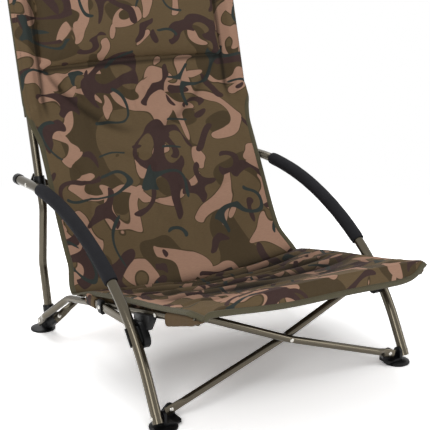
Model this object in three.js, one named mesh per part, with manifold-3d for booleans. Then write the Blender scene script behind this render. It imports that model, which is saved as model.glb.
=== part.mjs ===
// A low folding bank chair: two back posts, two bent arm legs, crossed tubes at the front and the rear,
// side rails with stays, four mud feet and a hung fabric seat and back with a head pillow.
// Millimetres. Left is -X, the front is -Y, up is +Z and the floor is z = 0.

import * as THREE from 'three';
import { mergeVertices } from 'three/addons/utils/BufferGeometryUtils.js';
import Module from 'manifold-3d';

const wasm = await Module();
wasm.setup();

// Tubes
const armTubeD = 22;
const postTubeD = 19;
const crossTubeD = 16;
const railTubeD = 16;
const tubeWall = 1.4;
const pressedThickness = 5;
const pressedWidth = 20;
const pressedLength = 13;
const pressedSquareShare = 0.5;
const pressTaper = 24;
const bendRadius = 70;
const tubeSides = 12;
const roundSides = 16;
const curveSegments = 3;
const crossBendRadius = 140;
const bendStep = 8;

// Clearances and cuts
const gap = 0.3;
const slideGap = 0.5;
const cutOverrun = 2;

// Stance
const stanceWidth = 592;
const stanceDepth = 592;
const armOutset = 16;
const postInset = 8;
const footX = stanceWidth / 2;
const frontFootY = -stanceDepth / 2;
const rearFootY = stanceDepth / 2;
const armX = footX + armOutset;
const postX = footX - postInset;

// Mud feet
const footD = 59;
const footRimHeight = 3.5;
const footHeight = 6.5;
const footCrownD = 44;
const footSegments = 24;

// Back posts
const postFootForward = 22;
const postFootZ = 44;
const lowBendBack = 26;
const lowBendZ = 165;
const highBendBack = 9;
const highBendZ = 303;
const backLean = 15.1;
const postTopZ = 856;

// Arm legs
const armPivotZ = 358;
const armRearOverhang = 74;
const armFrontStraight = 17;
const armRiseLean = 2;
const armBendLean = 34;
const legBendLean = 61.5;
const legStraight = 60;
const legPivotZ = 25;
const legTail = 12;
const legPivotForward = 2;
const armBendStep = 7;

// Foam grips on the arms
const gripD = 31;
const gripStart = 46;
const gripLength = 385;

// Rear crossed tubes
const rearCrossInset = 8;
const rearCrossTopAbove = 10;
const rearCrossSetback = 28;
const rearCrossBottomZ = 46;
const crossSpacing = 16.8;

// Front crossed tubes
const frontCrossBehind = 4;
const frontCrossInset = 24;
const frontCrossBottomZ = 27;
const frontCrossMidZ = 121;
const frontCrossTopInset = 50;
const frontCrossTopAboveRail = 5;

// Side rails
const railPinForward = 20;
const railPinZ = 30;
const railPinOutset = 13.5;
const railPinRun = 32;
const railBendForward = 138;
const railBendZ = 120;
const railBendInset = 8;
const railTipForward = 89;
const railTipZ = 245;
const railTipInset = 26;

// Stays and their clips
const stayHeight = 19;
const stayThickness = 7.5;
const stayPinY = -32;
const stayRearReach = 64;
const stayLegZ = 171;
const stayLegBehind = 36;
const clipLength = 16;
const clipHeight = 31;
const clipWall = 2.5;

// Leg brackets
const bracketLowZ = 155;
const bracketLowBehind = 27;
const bracketCollarWall = 3.3;
const bracketBossR = 8.5;
const bracketFrontR = 17;
const bracketCheek = 6;
const ledgeFront = 34;
const ledgeRear = 32;
const ledgeDepth = 22;
const ledgeTaperShare = 0.5;
const stayEnd = 10;
const stayEndRoom = 15;

// Arm brackets, which slide on the posts
const sliderHeight = 34;
const sliderWall = 3.2;
const sliderCorner = 4;

// Foot brackets and post sockets
const bracketBaseHeight = 7;
const earThickness = 6;
const earR = 11;
const socketWall = 3.5;
const socketHeight = 26;
const socketFloor = 4;
const stemFront = 24;
const stemBack = 12;
const stemWidth = 17;
const plateReach = 20;
const tubeEndRoom = 17;
const stemTopD = 22;

// Rivets
const rivetShankD = 5;
const rivetHeadD = 10;
const rivetCrownD = 7;
const rivetHeadHeight = 2;
const pinDepth = 5;
const rivetSides = 8;

// Arm end caps
const capWall = 1.5;
const capLength = 14;
const capDome = 3;

// Fabric
const clothThickness = 4;
const seatLift = 13;
const seatOverhang = 5;
const seatRearY = 100;
const seatFrontReach = 104;
const seatFrontRise = 14;
const seatCornerPull = 10;
const seatCornerRun = 90;
const seatRiseRun = 120;
const seatRearSag = 30;
const seatFrontSag = 2;
const bandHeight = 40;
const bandCornerRise = 33;
const bandCornerPower = 6;
const bandBulge = 6;
const foldHeight = 3;
const foldReach = 170;
const foldCount = 7;
const foldStartShare = 0.5;
const foldEndShare = 1.6;
const foldEdgeShare = 0.125;
const backSag = 26;
const backSagStartShare = 0.12;
const backSagEndShare = 0.92;
const backFoldHeight = 3;
const backFoldCount = 5;
const backFoldShare = 0.25;
const bottomSagShare = 1 / 3;
const sleeveStartZ = 508;
const sleeveR = 15;
const sleeveTopAbove = 6;
const backJoinZ = 535;
const backEdgeAhead = 105;
const backEdgePowerShare = 0.8;
const backTuckPower = 10;
const pocketLength = 106;
const pocketHalfWidth = 13;
const pocketDepth = 20;
const pocketTipDepth = 12;
const pocketTipShare = 0.8;
const pocketFront = 6;
const studBehind = 147;
const loopLength = 36;
const loopWall = 3;
const loopHemD = 7;

// Head pillow
const pillowTopBelow = 10;
const pillowHeight = 206;
const pillowSideInset = 16;
const pillowCrown = 44;
const pillowEdge = 8;
const pillowPull = 7;
const pillowCrownPower = 4;

// Finishes
function finish(color, roughness, metalness) {
  return new THREE.MeshStandardMaterial({ color, roughness, metalness });
}

const framePaint = finish(0x5d5648, 0.4, 0.55);
const blackPlastic = finish(0x17171a, 0.5, 0);
const blackFoam = finish(0x232326, 0.95, 0);
const rivetSteel = finish(0xc9c7c0, 0.3, 0.9);
const printedCloth = finish(0x5a4a32, 0.9, 0);

// Small helpers
const degrees = (value) => (value * Math.PI) / 180;
const vec = (x, y, z) => new THREE.Vector3(x, y, z);
const mix = (a, b, t) => a + (b - a) * t;
const clamp = (value) => Math.min(1, Math.max(0, value));
const smooth = (value) => clamp(value) ** 2 * (3 - 2 * clamp(value));

// Solids: a closed geometry becomes a Manifold for joining and cutting, and goes back to a geometry
function solid(geometry) {
  const bare = geometry.clone();
  bare.deleteAttribute('normal');
  bare.deleteAttribute('uv');
  const merged = mergeVertices(bare);
  return new wasm.Manifold(new wasm.Mesh({
    numProp: 3,
    vertProperties: new Float32Array(merged.attributes.position.array),
    triVerts: new Uint32Array(merged.index.array),
  }));
}

function geometryOf(body) {
  const mesh = body.getMesh();
  const geometry = new THREE.BufferGeometry();
  geometry.setAttribute('position', new THREE.BufferAttribute(new Float32Array(mesh.vertProperties), 3));
  geometry.setIndex(new THREE.BufferAttribute(new Uint32Array(mesh.triVerts), 1));
  geometry.computeVertexNormals();
  return geometry;
}

const union = (bodies) => bodies.reduce((all, body) => all.add(body));
const cut = (body, tools) => tools.reduce((left, tool) => left.subtract(tool), body);

// A closed skin over rings of points that all have the same count
function loft(rings) {
  const count = rings[0].length;
  const positions = rings.flat().flatMap((point) => point.toArray());
  const index = [];
  for (let ring = 0; ring < rings.length - 1; ring += 1) {
    for (let side = 0; side < count; side += 1) {
      const next = (side + 1) % count;
      const a = ring * count + side;
      const b = ring * count + next;
      index.push(a, b, b + count, a, b + count, a + count);
    }
  }
  for (const [ring, flip] of [[0, true], [rings.length - 1, false]]) {
    const start = ring * count;
    for (let side = 1; side < count - 1; side += 1) {
      index.push(start, start + side + (flip ? 1 : 0), start + side + (flip ? 0 : 1));
    }
  }
  const geometry = new THREE.BufferGeometry();
  geometry.setAttribute('position', new THREE.Float32BufferAttribute(positions, 3));
  geometry.setIndex(index);
  const body = solid(geometry);
  return body.volume() < 0 ? solid(turned(geometry)) : body;
}

function turned(geometry) {
  const index = geometry.index.array;
  for (let i = 0; i < index.length; i += 3) {
    [index[i + 1], index[i + 2]] = [index[i + 2], index[i + 1]];
  }
  return geometry;
}

// A path of straight runs whose corners are rounded to a radius
function roundedPath(corners, radius) {
  const points = [corners[0]];
  for (let i = 1; i < corners.length - 1; i += 1) {
    const back = corners[i - 1].clone().sub(corners[i]).normalize();
    const ahead = corners[i + 1].clone().sub(corners[i]).normalize();
    const turn = Math.PI - back.angleTo(ahead);
    const setback = radius * Math.tan(turn / 2);
    const start = corners[i].clone().addScaledVector(back, setback);
    const end = corners[i].clone().addScaledVector(ahead, setback);
    const centre = corners[i].clone()
      .addScaledVector(back.clone().add(ahead).normalize(), radius / Math.cos(turn / 2));
    const steps = Math.max(2, Math.ceil(turn / degrees(bendStep)));
    const from = start.clone().sub(centre);
    const to = end.clone().sub(centre);
    for (let step = 0; step <= steps; step += 1) {
      const share = step / steps;
      const spoke = from.clone().multiplyScalar(Math.sin((1 - share) * turn))
        .addScaledVector(to, Math.sin(share * turn)).divideScalar(Math.sin(turn));
      points.push(centre.clone().add(spoke));
    }
  }
  points.push(corners[corners.length - 1]);
  return points;
}

// Lengths along a path, and the point at a length
function lengthsOf(points) {
  const lengths = [0];
  for (let i = 1; i < points.length; i += 1) {
    lengths.push(lengths[i - 1] + points[i].distanceTo(points[i - 1]));
  }
  return lengths;
}

function pointAt(points, length) {
  const lengths = lengthsOf(points);
  let i = lengths.findIndex((value) => value >= length);
  i = i < 1 ? (i === 0 ? 1 : points.length - 1) : i;
  const share = (length - lengths[i - 1]) / (lengths[i] - lengths[i - 1]);
  return points[i - 1].clone().lerp(points[i], share);
}

function pathBetween(points, from, to) {
  const lengths = lengthsOf(points);
  const inside = points.filter((point, i) => lengths[i] > from + gap && lengths[i] < to - gap);
  return [pointAt(points, from), ...inside, pointAt(points, to)];
}

// A rod or tube skin along a path. The section is round, and is pressed flat across the given normal
// where the section's share is 1.
function skin(points, diameter, normal, pressedShares = points.map(() => 0), thickness = pressedThickness,
  width = pressedWidth) {
  const rings = points.map((point, i) => {
    const before = points[Math.max(0, i - 1)];
    const after = points[Math.min(points.length - 1, i + 1)];
    const along = after.clone().sub(before).normalize();
    const across = normal.clone().cross(along).normalize();
    const out = along.clone().cross(across).normalize();
    const share = pressedShares[i];
    const halfOut = mix(diameter, thickness, share) / 2;
    const halfAcross = mix(diameter, width, share) / 2;
    const squareness = mix(1, pressedSquareShare, share);
    const ring = [];
    for (let side = 0; side < tubeSides; side += 1) {
      const angle = ((side + 1 / 2) / tubeSides) * 2 * Math.PI;
      const bulge = (value) => Math.sign(value) * Math.abs(value) ** squareness;
      ring.push(point.clone()
        .addScaledVector(out, halfOut * bulge(Math.cos(angle)))
        .addScaledVector(across, halfAcross * bulge(Math.sin(angle))));
    }
    return ring;
  });
  return loft(rings);
}

// Both ends of a path run on past its ends
function extended(points, length) {
  const first = points[0].clone().sub(points[1]).setLength(length).add(points[0]);
  const last = points[points.length - 1].clone().sub(points[points.length - 2]).setLength(length)
    .add(points[points.length - 1]);
  return [first, ...points, last];
}

const sideNormal = vec(1, 0, 0);

function hollowTube(points, diameter, wall, normal = sideNormal) {
  const bore = skin(extended(points, cutOverrun), diameter - 2 * wall, normal);
  return skin(points, diameter, normal).subtract(bore);
}

// A tube with pressed ends: pins are the lengths at which its pressed ends are pierced
function pressedTube(points, diameter, normal, pressStart, pressEnd) {
  const total = lengthsOf(points).at(-1);
  const flat = 2 * pressedLength;
  const marks = [0];
  if (pressStart) {
    marks.push(flat, flat + pressTaper / 2, flat + pressTaper);
  }
  if (pressEnd) {
    marks.push(total - flat - pressTaper, total - flat - pressTaper / 2, total - flat);
  }
  marks.push(total);
  const low = pressStart ? flat + pressTaper : 0;
  const high = pressEnd ? total - flat - pressTaper : total;
  const lengths = lengthsOf(points).filter((value) => value > low + gap && value < high - gap);
  const all = [...marks, ...lengths].sort((a, b) => a - b);
  const shares = all.map((value) => Math.max(
    pressStart ? 1 - smooth((value - flat) / pressTaper) : 0,
    pressEnd ? smooth((value - (total - flat - pressTaper)) / pressTaper) : 0,
  ));
  return skin(all.map((value) => pointAt(points, value)), diameter, normal, shares);
}

// A round bar between two points, for bosses, bores and shanks
function bar(from, to, diameter, sides = rivetSides) {
  const length = from.distanceTo(to);
  const geometry = new THREE.CylinderGeometry(diameter / 2, diameter / 2, length, sides);
  const along = to.clone().sub(from).normalize();
  geometry.applyQuaternion(new THREE.Quaternion().setFromUnitVectors(vec(0, 1, 0), along));
  geometry.translate(...from.clone().add(to).divideScalar(2).toArray());
  return solid(geometry);
}

function rivet(from, to) {
  const along = to.clone().sub(from).normalize();
  const length = from.distanceTo(to);
  const shank = rivetShankD / 2;
  const head = rivetHeadD / 2;
  const crown = rivetCrownD / 2;
  const profile = [
    [0, -rivetHeadHeight], [crown, -rivetHeadHeight], [head, 0], [shank, 0],
    [shank, length], [head, length], [crown, length + rivetHeadHeight], [0, length + rivetHeadHeight],
  ].map(([r, z]) => new THREE.Vector2(r, z));
  const geometry = new THREE.LatheGeometry(profile, rivetSides);
  geometry.applyQuaternion(new THREE.Quaternion().setFromUnitVectors(vec(0, 1, 0), along));
  geometry.translate(...from.toArray());
  return solid(geometry);
}

// A pin with one head, whose shank ends in the piece that holds it
function pin(headAt, tip) {
  const along = tip.clone().sub(headAt).normalize();
  const length = headAt.distanceTo(tip);
  const profile = [
    [0, -rivetHeadHeight], [rivetCrownD / 2, -rivetHeadHeight], [rivetHeadD / 2, 0], [rivetShankD / 2, 0],
    [rivetShankD / 2, length], [0, length],
  ].map(([r, z]) => new THREE.Vector2(r, z));
  const geometry = new THREE.LatheGeometry(profile, rivetSides);
  geometry.applyQuaternion(new THREE.Quaternion().setFromUnitVectors(vec(0, 1, 0), along));
  geometry.translate(...headAt.toArray());
  return solid(geometry);
}

// A plate cut to an outline in the side view (y, z), between two x
function sidePlate(outline, x0, x1) {
  const geometry = new THREE.ExtrudeGeometry(outline, { depth: Math.abs(x1 - x0), bevelEnabled: false });
  geometry.applyMatrix4(new THREE.Matrix4().set(0, 0, 1, 0, 1, 0, 0, 0, 0, 1, 0, 0, 0, 0, 0, 1));
  geometry.translate(Math.min(x0, x1), 0, 0);
  return solid(geometry);
}

const flatPoint = (y, z) => new THREE.Vector2(y, z);

// A block with rounded upright edges, standing on z0
function roundedBlock(x0, x1, y0, y1, z0, z1, corner) {
  const shape = new THREE.Shape();
  shape.moveTo(x0 + corner, y0);
  shape.lineTo(x1 - corner, y0);
  shape.absarc(x1 - corner, y0 + corner, corner, -Math.PI / 2, 0, false);
  shape.absarc(x1 - corner, y1 - corner, corner, 0, Math.PI / 2, false);
  shape.absarc(x0 + corner, y1 - corner, corner, Math.PI / 2, Math.PI, false);
  shape.absarc(x0 + corner, y0 + corner, corner, Math.PI, (3 * Math.PI) / 2, false);
  const depth = z1 - z0;
  const geometry = new THREE.ExtrudeGeometry(shape, { depth, bevelEnabled: false, curveSegments });
  geometry.translate(0, 0, z0);
  return solid(geometry);
}

// Everything below is drawn for the left side, at negative x

// Back post: its centreline and the line that the arm bracket slides on
const leanSlope = Math.tan(degrees(backLean));
const leanUp = vec(0, Math.sin(degrees(backLean)), Math.cos(degrees(backLean)));
const leanBack = vec(0, Math.cos(degrees(backLean)), -Math.sin(degrees(backLean)));
const postFootY = rearFootY - postFootForward;
const highBendY = postFootY + highBendBack;
const postY = (z) => highBendY + (z - highBendZ) * leanSlope;
const postCorners = [
  vec(-postX, postFootY, postFootZ),
  vec(-postX, postFootY + lowBendBack, lowBendZ),
  vec(-postX, highBendY, highBendZ),
  vec(-postX, postY(postTopZ), postTopZ),
];
const postPath = roundedPath(postCorners, bendRadius);

// Arm leg: straight over the pivot, then two bends whose radii bring it down to the foot pivot
const armPivot = vec(-armX, postY(armPivotZ), armPivotZ);
const footPivot = vec(-armX, frontFootY - legPivotForward, legPivotZ);
const heading = (angle) => vec(0, -Math.cos(angle), -Math.sin(angle));
const headings = [-armRiseLean, armBendLean, legBendLean].map(degrees);
const armBendStart = armPivot.clone().addScaledVector(heading(headings[0]), armFrontStraight);
const legRun = footPivot.clone().addScaledVector(heading(headings[2]), -legStraight);
const bendTravel = (a, b) => [Math.sin(b) - Math.sin(a), Math.cos(a) - Math.cos(b)];
const [firstY, firstZ] = bendTravel(headings[0], headings[1]);
const [secondY, secondZ] = bendTravel(headings[1], headings[2]);
const travelY = armBendStart.y - legRun.y;
const travelZ = armBendStart.z - legRun.z;
const bendSplit = firstY * secondZ - firstZ * secondY;
const armBendR = (travelY * secondZ - travelZ * secondY) / bendSplit;
const legBendR = (firstY * travelZ - firstZ * travelY) / bendSplit;

function bendPoints(start, radius, from, to) {
  const steps = Math.ceil((to - from) / degrees(armBendStep));
  return Array.from({ length: steps }, (_, i) => {
    const [y, z] = bendTravel(from, mix(from, to, (i + 1) / steps));
    return vec(start.x, start.y - radius * y, start.z - radius * z);
  });
}

const armBend = bendPoints(armBendStart, armBendR, headings[0], headings[1]);
const legBend = bendPoints(armBend.at(-1), legBendR, headings[1], headings[2]);
const armPath = [
  armPivot.clone().addScaledVector(heading(headings[0]), -armRearOverhang),
  armPivot, armBendStart, ...armBend, ...legBend,
  footPivot.clone().addScaledVector(heading(headings[2]), legTail),
];

function legAt(z) {
  const i = armPath.findIndex((point, k) => k > 2 && point.z <= z);
  const share = (armPath[i - 1].z - z) / (armPath[i - 1].z - armPath[i].z);
  return armPath[i - 1].clone().lerp(armPath[i], share);
}

// Side rail: pinned outside the rear foot, bent, then straight to the seat's front corner
const railPin = vec(-(footX + railPinOutset), rearFootY - railPinForward, railPinZ);
const railBend = vec(-(footX - railBendInset), rearFootY - railBendForward, railBendZ);
const railTip = vec(-(footX - railTipInset), frontFootY - railTipForward, railTipZ);
const railShare = (y) => (railBend.y - y) / (railBend.y - railTip.y);
const railZ = (y) => mix(railBend.z, railTip.z, railShare(y));
const railX = (y) => mix(railBend.x, railTip.x, railShare(y));
const railDirection = railBend.clone().sub(railPin).setX(0).normalize();
const railStart = railPin.clone().addScaledVector(railDirection, -pressedLength);
const railTurn = railPin.clone().addScaledVector(railDirection, railPinRun);
const railCorners = [railStart, railTurn, railBend, railTip];
const railPath = roundedPath(railCorners, bendRadius);

// Stay: pinned behind the leg bracket and on the rail
const stayOuter = Math.min(railX(stayPinY + stayRearReach), railX(stayPinY)) - railTubeD / 2 - slideGap;
const stayX = stayOuter - stayThickness / 2;
const stayLegPin = vec(stayX, legAt(stayLegZ).y + stayLegBehind, stayLegZ);
const stayRailPin = vec(stayX, stayPinY, railZ(stayPinY));
const stayDirection = stayRailPin.clone().sub(stayLegPin).normalize();
const stayRear = stayRailPin.clone().addScaledVector(stayDirection, stayRearReach);

// Crossed tubes at the rear, in a plane that leans with the posts
const sliderAt = vec(-postX, postY(armPivotZ), armPivotZ);
const rearCrossX = postX - rearCrossInset;
const rearCrossTop = sliderAt.clone().addScaledVector(leanUp, rearCrossTopAbove)
  .addScaledVector(leanBack, rearCrossSetback).setX(-rearCrossX);
const rearCrossRun = (rearCrossTop.z - rearCrossBottomZ) / leanUp.z;
const rearCrossBottom = rearCrossTop.clone().addScaledVector(leanUp, -rearCrossRun);
const crossOffset = crossSpacing / 2;

// Crossed tubes at the front, in an upright plane
const frontCrossY = frontFootY + frontCrossBehind;
const frontCrossX = footX - frontCrossInset;
const frontCrossTopX = footX - frontCrossTopInset;
const frontCrossTopZ = railZ(frontCrossY) + frontCrossTopAboveRail;

// Fabric surfaces, as functions of a share u across (-1 to 1) and a share v along (0 to 1)
const seatFrontY = frontFootY - seatFrontReach;
const seatEdgeZ = (y) => railZ(y) + railTubeD / 2 + seatLift;
const seatHalfWidth = (y) => {
  const pulled = smooth((seatFrontY + seatCornerRun - y) / seatCornerRun);
  return -railX(y) + seatOverhang - seatCornerPull * pulled;
};
const seatShare = (y) => (seatRearY - y) / (seatRearY - seatFrontY);

function cornerFolds(u, y) {
  const corner = vec(seatHalfWidth(seatFrontY), seatFrontY, 0);
  const away = vec(Math.abs(u) * seatHalfWidth(y), y, 0).sub(corner);
  const reach = away.length() / foldReach;
  const angle = Math.atan2(away.y, -away.x);
  const fade = smooth(reach / foldStartShare) * (1 - smooth(reach / foldEndShare))
    * smooth((1 - Math.abs(u)) / foldEdgeShare);
  return foldHeight * Math.sin(foldCount * angle) * fade;
}

function seatSurface(u, y) {
  const halfWidth = seatHalfWidth(y);
  const share = seatShare(y);
  const rise = seatFrontRise * smooth((seatFrontY + seatRiseRun - y) / seatRiseRun);
  const sag = mix(seatRearSag, seatFrontSag, smooth(share)) * (1 - u * u);
  return vec(u * halfWidth, y, seatEdgeZ(y) + rise - sag + cornerFolds(u, y));
}

const seatRearZ = seatEdgeZ(seatRearY);
const backHalfWidthLow = seatHalfWidth(seatRearY);
const backHalfWidthHigh = postX - postTubeD / 2 - slideGap - clothThickness;
const backTuck = postY(seatRearZ) - backEdgeAhead - seatRearY;
const backTopZ = postTopZ + sleeveTopAbove;
const pillowTopZ = postTopZ - pillowTopBelow;
const pillowBottomZ = pillowTopZ - pillowHeight;

function backSurface(u, v) {
  const z = mix(seatRearZ, backTopZ, v);
  const free = 1 - clamp((z - seatRearZ) / (backJoinZ - seatRearZ));
  const edgeY = postY(z) - backEdgeAhead * free ** backEdgePowerShare - backTuck * free ** backTuckPower;
  const narrowed = smooth((z - seatRearZ) / (highBendZ - seatRearZ));
  const halfWidth = mix(backHalfWidthLow, backHalfWidthHigh, narrowed);
  const slack = 1 - u * u;
  const bottomSag = seatRearSag * slack * (1 - smooth(v / bottomSagShare));
  const hang = backSag * slack * Math.sin(Math.PI * mix(backSagStartShare, backSagEndShare, v));
  const folded = slack * (1 - smooth(Math.abs(v - backFoldShare) / backFoldShare));
  const folds = backFoldHeight * Math.sin(backFoldCount * Math.PI * u * u) * folded;
  return vec(u * halfWidth, edgeY + hang + folds, z - bottomSag);
}

// A closed solid between two offsets of a surface that is given as a grid of points
function sheet(grid, below, above) {
  const rows = grid.length;
  const columns = grid[0].length;
  const at = (i, k) => grid[Math.min(rows - 1, Math.max(0, i))][Math.min(columns - 1, Math.max(0, k))];
  const layer = (offset) => grid.map((row, i) => row.map((point, k) => {
    const alongRow = at(i, k + 1).clone().sub(at(i, k - 1));
    const alongColumn = at(i + 1, k).clone().sub(at(i - 1, k));
    return point.clone().addScaledVector(alongRow.cross(alongColumn).normalize(), offset);
  }));
  const [low, high] = [layer(-below), layer(above)];
  const positions = [...low.flat(), ...high.flat()].flatMap((point) => point.toArray());
  const index = [];
  const node = (i, k, side) => side * rows * columns + i * columns + k;
  const quad = (a, b, c, d) => index.push(a, b, c, a, c, d);
  for (let i = 0; i < rows - 1; i += 1) {
    for (let k = 0; k < columns - 1; k += 1) {
      quad(node(i, k, 0), node(i + 1, k, 0), node(i + 1, k + 1, 0), node(i, k + 1, 0));
      quad(node(i, k, 1), node(i, k + 1, 1), node(i + 1, k + 1, 1), node(i + 1, k, 1));
    }
    quad(node(i, 0, 0), node(i, 0, 1), node(i + 1, 0, 1), node(i + 1, 0, 0));
    const last = columns - 1;
    quad(node(i, last, 0), node(i + 1, last, 0), node(i + 1, last, 1), node(i, last, 1));
  }
  for (let k = 0; k < columns - 1; k += 1) {
    quad(node(0, k, 0), node(0, k + 1, 0), node(0, k + 1, 1), node(0, k, 1));
    const last = rows - 1;
    quad(node(last, k, 0), node(last, k, 1), node(last, k + 1, 1), node(last, k + 1, 0));
  }
  const geometry = new THREE.BufferGeometry();
  geometry.setAttribute('position', new THREE.Float32BufferAttribute(positions, 3));
  geometry.setIndex(index);
  const body = solid(geometry);
  return body.volume() < 0 ? solid(turned(geometry)) : body;
}

const steps = (count) => Array.from({ length: count + 1 }, (_, i) => i / count);

// Seat sling: the hung seat, and the band that turns down over its front edge
const seatColumns = 22;
const seatRows = 18;
const bandRows = 3;

function seatGrid() {
  const across = steps(seatColumns).map((share) => 2 * share - 1);
  const rowAt = (y) => across.map((u) => seatSurface(u, y));
  const rows = steps(seatRows).map((share) => rowAt(mix(seatRearY, seatFrontY, share)));
  const edge = rows.at(-1);
  for (let row = 1; row <= bandRows; row += 1) {
    const share = row / bandRows;
    rows.push(edge.map((point, i) => {
      const height = bandHeight - bandCornerRise * Math.abs(across[i]) ** bandCornerPower;
      return point.clone().add(vec(0, -bandBulge * Math.sin((Math.PI / 2) * share), -height * share));
    }));
  }
  return rows;
}

const seatSheet = (below, above) => sheet(seatGrid(), below, above);
const half = clothThickness / 2;

// Back sling: from the seat's rear edge to the top, between the post sleeves
const backColumns = 22;
const backRows = 20;

function backGrid(fromV, toV, across, rows) {
  return steps(rows).map((share) => across.map((u) => backSurface(u, mix(fromV, toV, share))));
}

const backAcross = steps(backColumns).map((share) => 2 * share - 1);
const backStartV = (clothThickness + gap) / (backTopZ - seatRearZ);
const backSheet = (below, above) => sheet(backGrid(backStartV, 1, backAcross, backRows), below, above);

// Head pillow: a crowned cushion whose back lies on the sling
const pillowColumns = 18;
const pillowRows = 12;

function pillow() {
  const v = (z) => (z - seatRearZ) / (backTopZ - seatRearZ);
  const reach = (backHalfWidthHigh - pillowSideInset) / backHalfWidthHigh;
  const pull = pillowPull / backHalfWidthHigh;
  const surfaceAt = (across, along, offset) => {
    const drawn = (1 - along * along) * pull;
    const u = across * (reach - drawn);
    const drawnZ = pillowPull * (1 - across * across) * -along;
    const here = backSurface(u, v(mix(pillowBottomZ, pillowTopZ, (along + 1) / 2) + drawnZ));
    return here.addScaledVector(leanBack, -offset);
  };
  const across = steps(pillowColumns).map((share) => Math.sin(Math.PI * (share - 1 / 2)));
  const along = steps(pillowRows).map((share) => Math.sin(Math.PI * (share - 1 / 2)));
  const filled = (share) => 1 - Math.abs(share) ** pillowCrownPower;
  const crown = (a, b) => mix(pillowEdge, pillowCrown, Math.sqrt(filled(a) * filled(b)));
  const grid = (offset) => along.map((b) => across.map((a) => surfaceAt(a, b, half + gap + offset(a, b))));
  return between(grid(() => 0), grid(crown));
}

// A closed solid between two grids of the same size
function between(rear, front) {
  const rows = rear.length;
  const columns = rear[0].length;
  const ring = (i) => [...rear[i], ...front[i].slice().reverse()];
  const skinRings = Array.from({ length: rows }, (_, i) => ring(i));
  const count = 2 * columns;
  const positions = skinRings.flat().flatMap((point) => point.toArray());
  const index = [];
  for (let i = 0; i < rows - 1; i += 1) {
    for (let k = 0; k < count; k += 1) {
      const next = (k + 1) % count;
      index.push(i * count + k, i * count + next, (i + 1) * count + next);
      index.push(i * count + k, (i + 1) * count + next, (i + 1) * count + k);
    }
  }
  for (const [row, flip] of [[0, true], [rows - 1, false]]) {
    for (let k = 0; k < columns - 1; k += 1) {
      const a = row * count + k;
      const b = row * count + count - 1 - k;
      const faces = [[a, a + 1, b - 1], [a, b - 1, b]];
      faces.forEach(([p, q, r]) => index.push(p, flip ? r : q, flip ? q : r));
    }
  }
  const geometry = new THREE.BufferGeometry();
  geometry.setAttribute('position', new THREE.Float32BufferAttribute(positions, 3));
  geometry.setIndex(index);
  const body = solid(geometry);
  return body.volume() < 0 ? solid(turned(geometry)) : body;
}

// Pieces of the left side

function mudFoot(y) {
  const rim = footD / 2;
  const crown = footCrownD / 2;
  const profile = [[0, 0], [rim, 0], [rim, footRimHeight], [crown, footHeight], [0, footHeight]]
    .map(([r, z]) => new THREE.Vector2(r, z));
  const geometry = new THREE.LatheGeometry(profile, footSegments);
  geometry.rotateX(Math.PI / 2);
  geometry.translate(-footX, y, 0);
  return solid(geometry);
}

const flatHalf = pressedThickness / 2 + gap;
const shankBore = rivetShankD + 2 * gap;
const outside = -armX - armTubeD;
const bore = (from, to) => bar(from, to, shankBore);
const atX = (point, x) => point.clone().setX(x);
const sideBore = (point, x0 = outside, x1 = -frontCrossTopX) => bore(atX(point, x0), atX(point, x1));
const sideDisc = (point, x0, x1, radius) => bar(atX(point, x0), atX(point, x1), 2 * radius, roundSides);
const backward = (point, distance) => point.clone().addScaledVector(leanBack, distance);
const lowPostUp = postCorners[1].clone().sub(postCorners[0]).normalize();
const alongLowPost = (length) => postCorners[0].clone().addScaledVector(lowPostUp, length);

// Rear foot: one moulding with a socket for the post, a boss for the rail and an ear for the crossed tube
function rearFootBracket(offset) {
  const outer = postTubeD + 2 * socketWall;
  const socketTop = socketHeight - socketFloor;
  const socket = bar(alongLowPost(-socketFloor), alongLowPost(socketTop), outer, roundSides);
  const socketBore = bar(alongLowPost(-gap), alongLowPost(socketHeight), postTubeD + 2 * gap, roundSides);
  const earFace = backward(rearCrossBottom, offset + flatHalf);
  const earBack = backward(earFace, earThickness);
  const footing = roundedBlock(-postX - stemWidth / 2, -postX + stemWidth / 2, rearFootY - stemFront,
    rearFootY + stemBack, footHeight + gap, footHeight + bracketBaseHeight, sliderCorner);
  const stem = wasm.Manifold.hull([
    bar(earFace, earBack, 2 * earR, roundSides), footing,
    bar(alongLowPost(-socketFloor), alongLowPost(0), stemTopD, roundSides),
  ]);
  const railBoss = sideDisc(railPin, railPin.x + flatHalf, -postX, bracketBossR);
  return cut(union([stem, socket, railBoss]), [
    socketBore,
    bore(backward(earFace, -gap), backward(earFace, pinDepth + gap)),
    sideBore(railPin, outside, railPin.x + flatHalf + pinDepth + gap),
  ]);
}

const rearCrossPin = (offset) => pin(
  backward(rearCrossBottom, offset - flatHalf),
  backward(rearCrossBottom, offset + flatHalf + pinDepth),
);
const railFootPin = () => pin(
  railPin.clone().setX(railPin.x - flatHalf),
  railPin.clone().setX(railPin.x + flatHalf + pinDepth),
);

// Arm bracket: a collar that slides on the post, with an ear behind it for the crossed tube
const collarTop = sliderHeight / 2;
const collarR = postTubeD / 2 + sliderWall;
const alongCollar = (length) => sliderAt.clone().addScaledVector(leanUp, length);

function armBracket(offset) {
  const collar = bar(alongCollar(-collarTop), alongCollar(collarTop), 2 * collarR, roundSides);
  const earFace = backward(rearCrossTop, offset - flatHalf);
  const root = alongCollar(collarTop - earR);
  const reach = wasm.Manifold.hull([
    bar(earFace, backward(earFace, -earThickness), 2 * earR, roundSides),
    bar(root, backward(root, earThickness), 2 * earR, roundSides),
  ]);
  const boreD = postTubeD + 2 * slideGap;
  const postBore = bar(alongCollar(-2 * collarTop), alongCollar(2 * collarTop), boreD, roundSides);
  return cut(union([collar, reach]), [
    postBore,
    bore(backward(earFace, gap), backward(earFace, -pinDepth - gap)),
    sideBore(armPivot, outside, -postX),
  ]);
}

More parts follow.
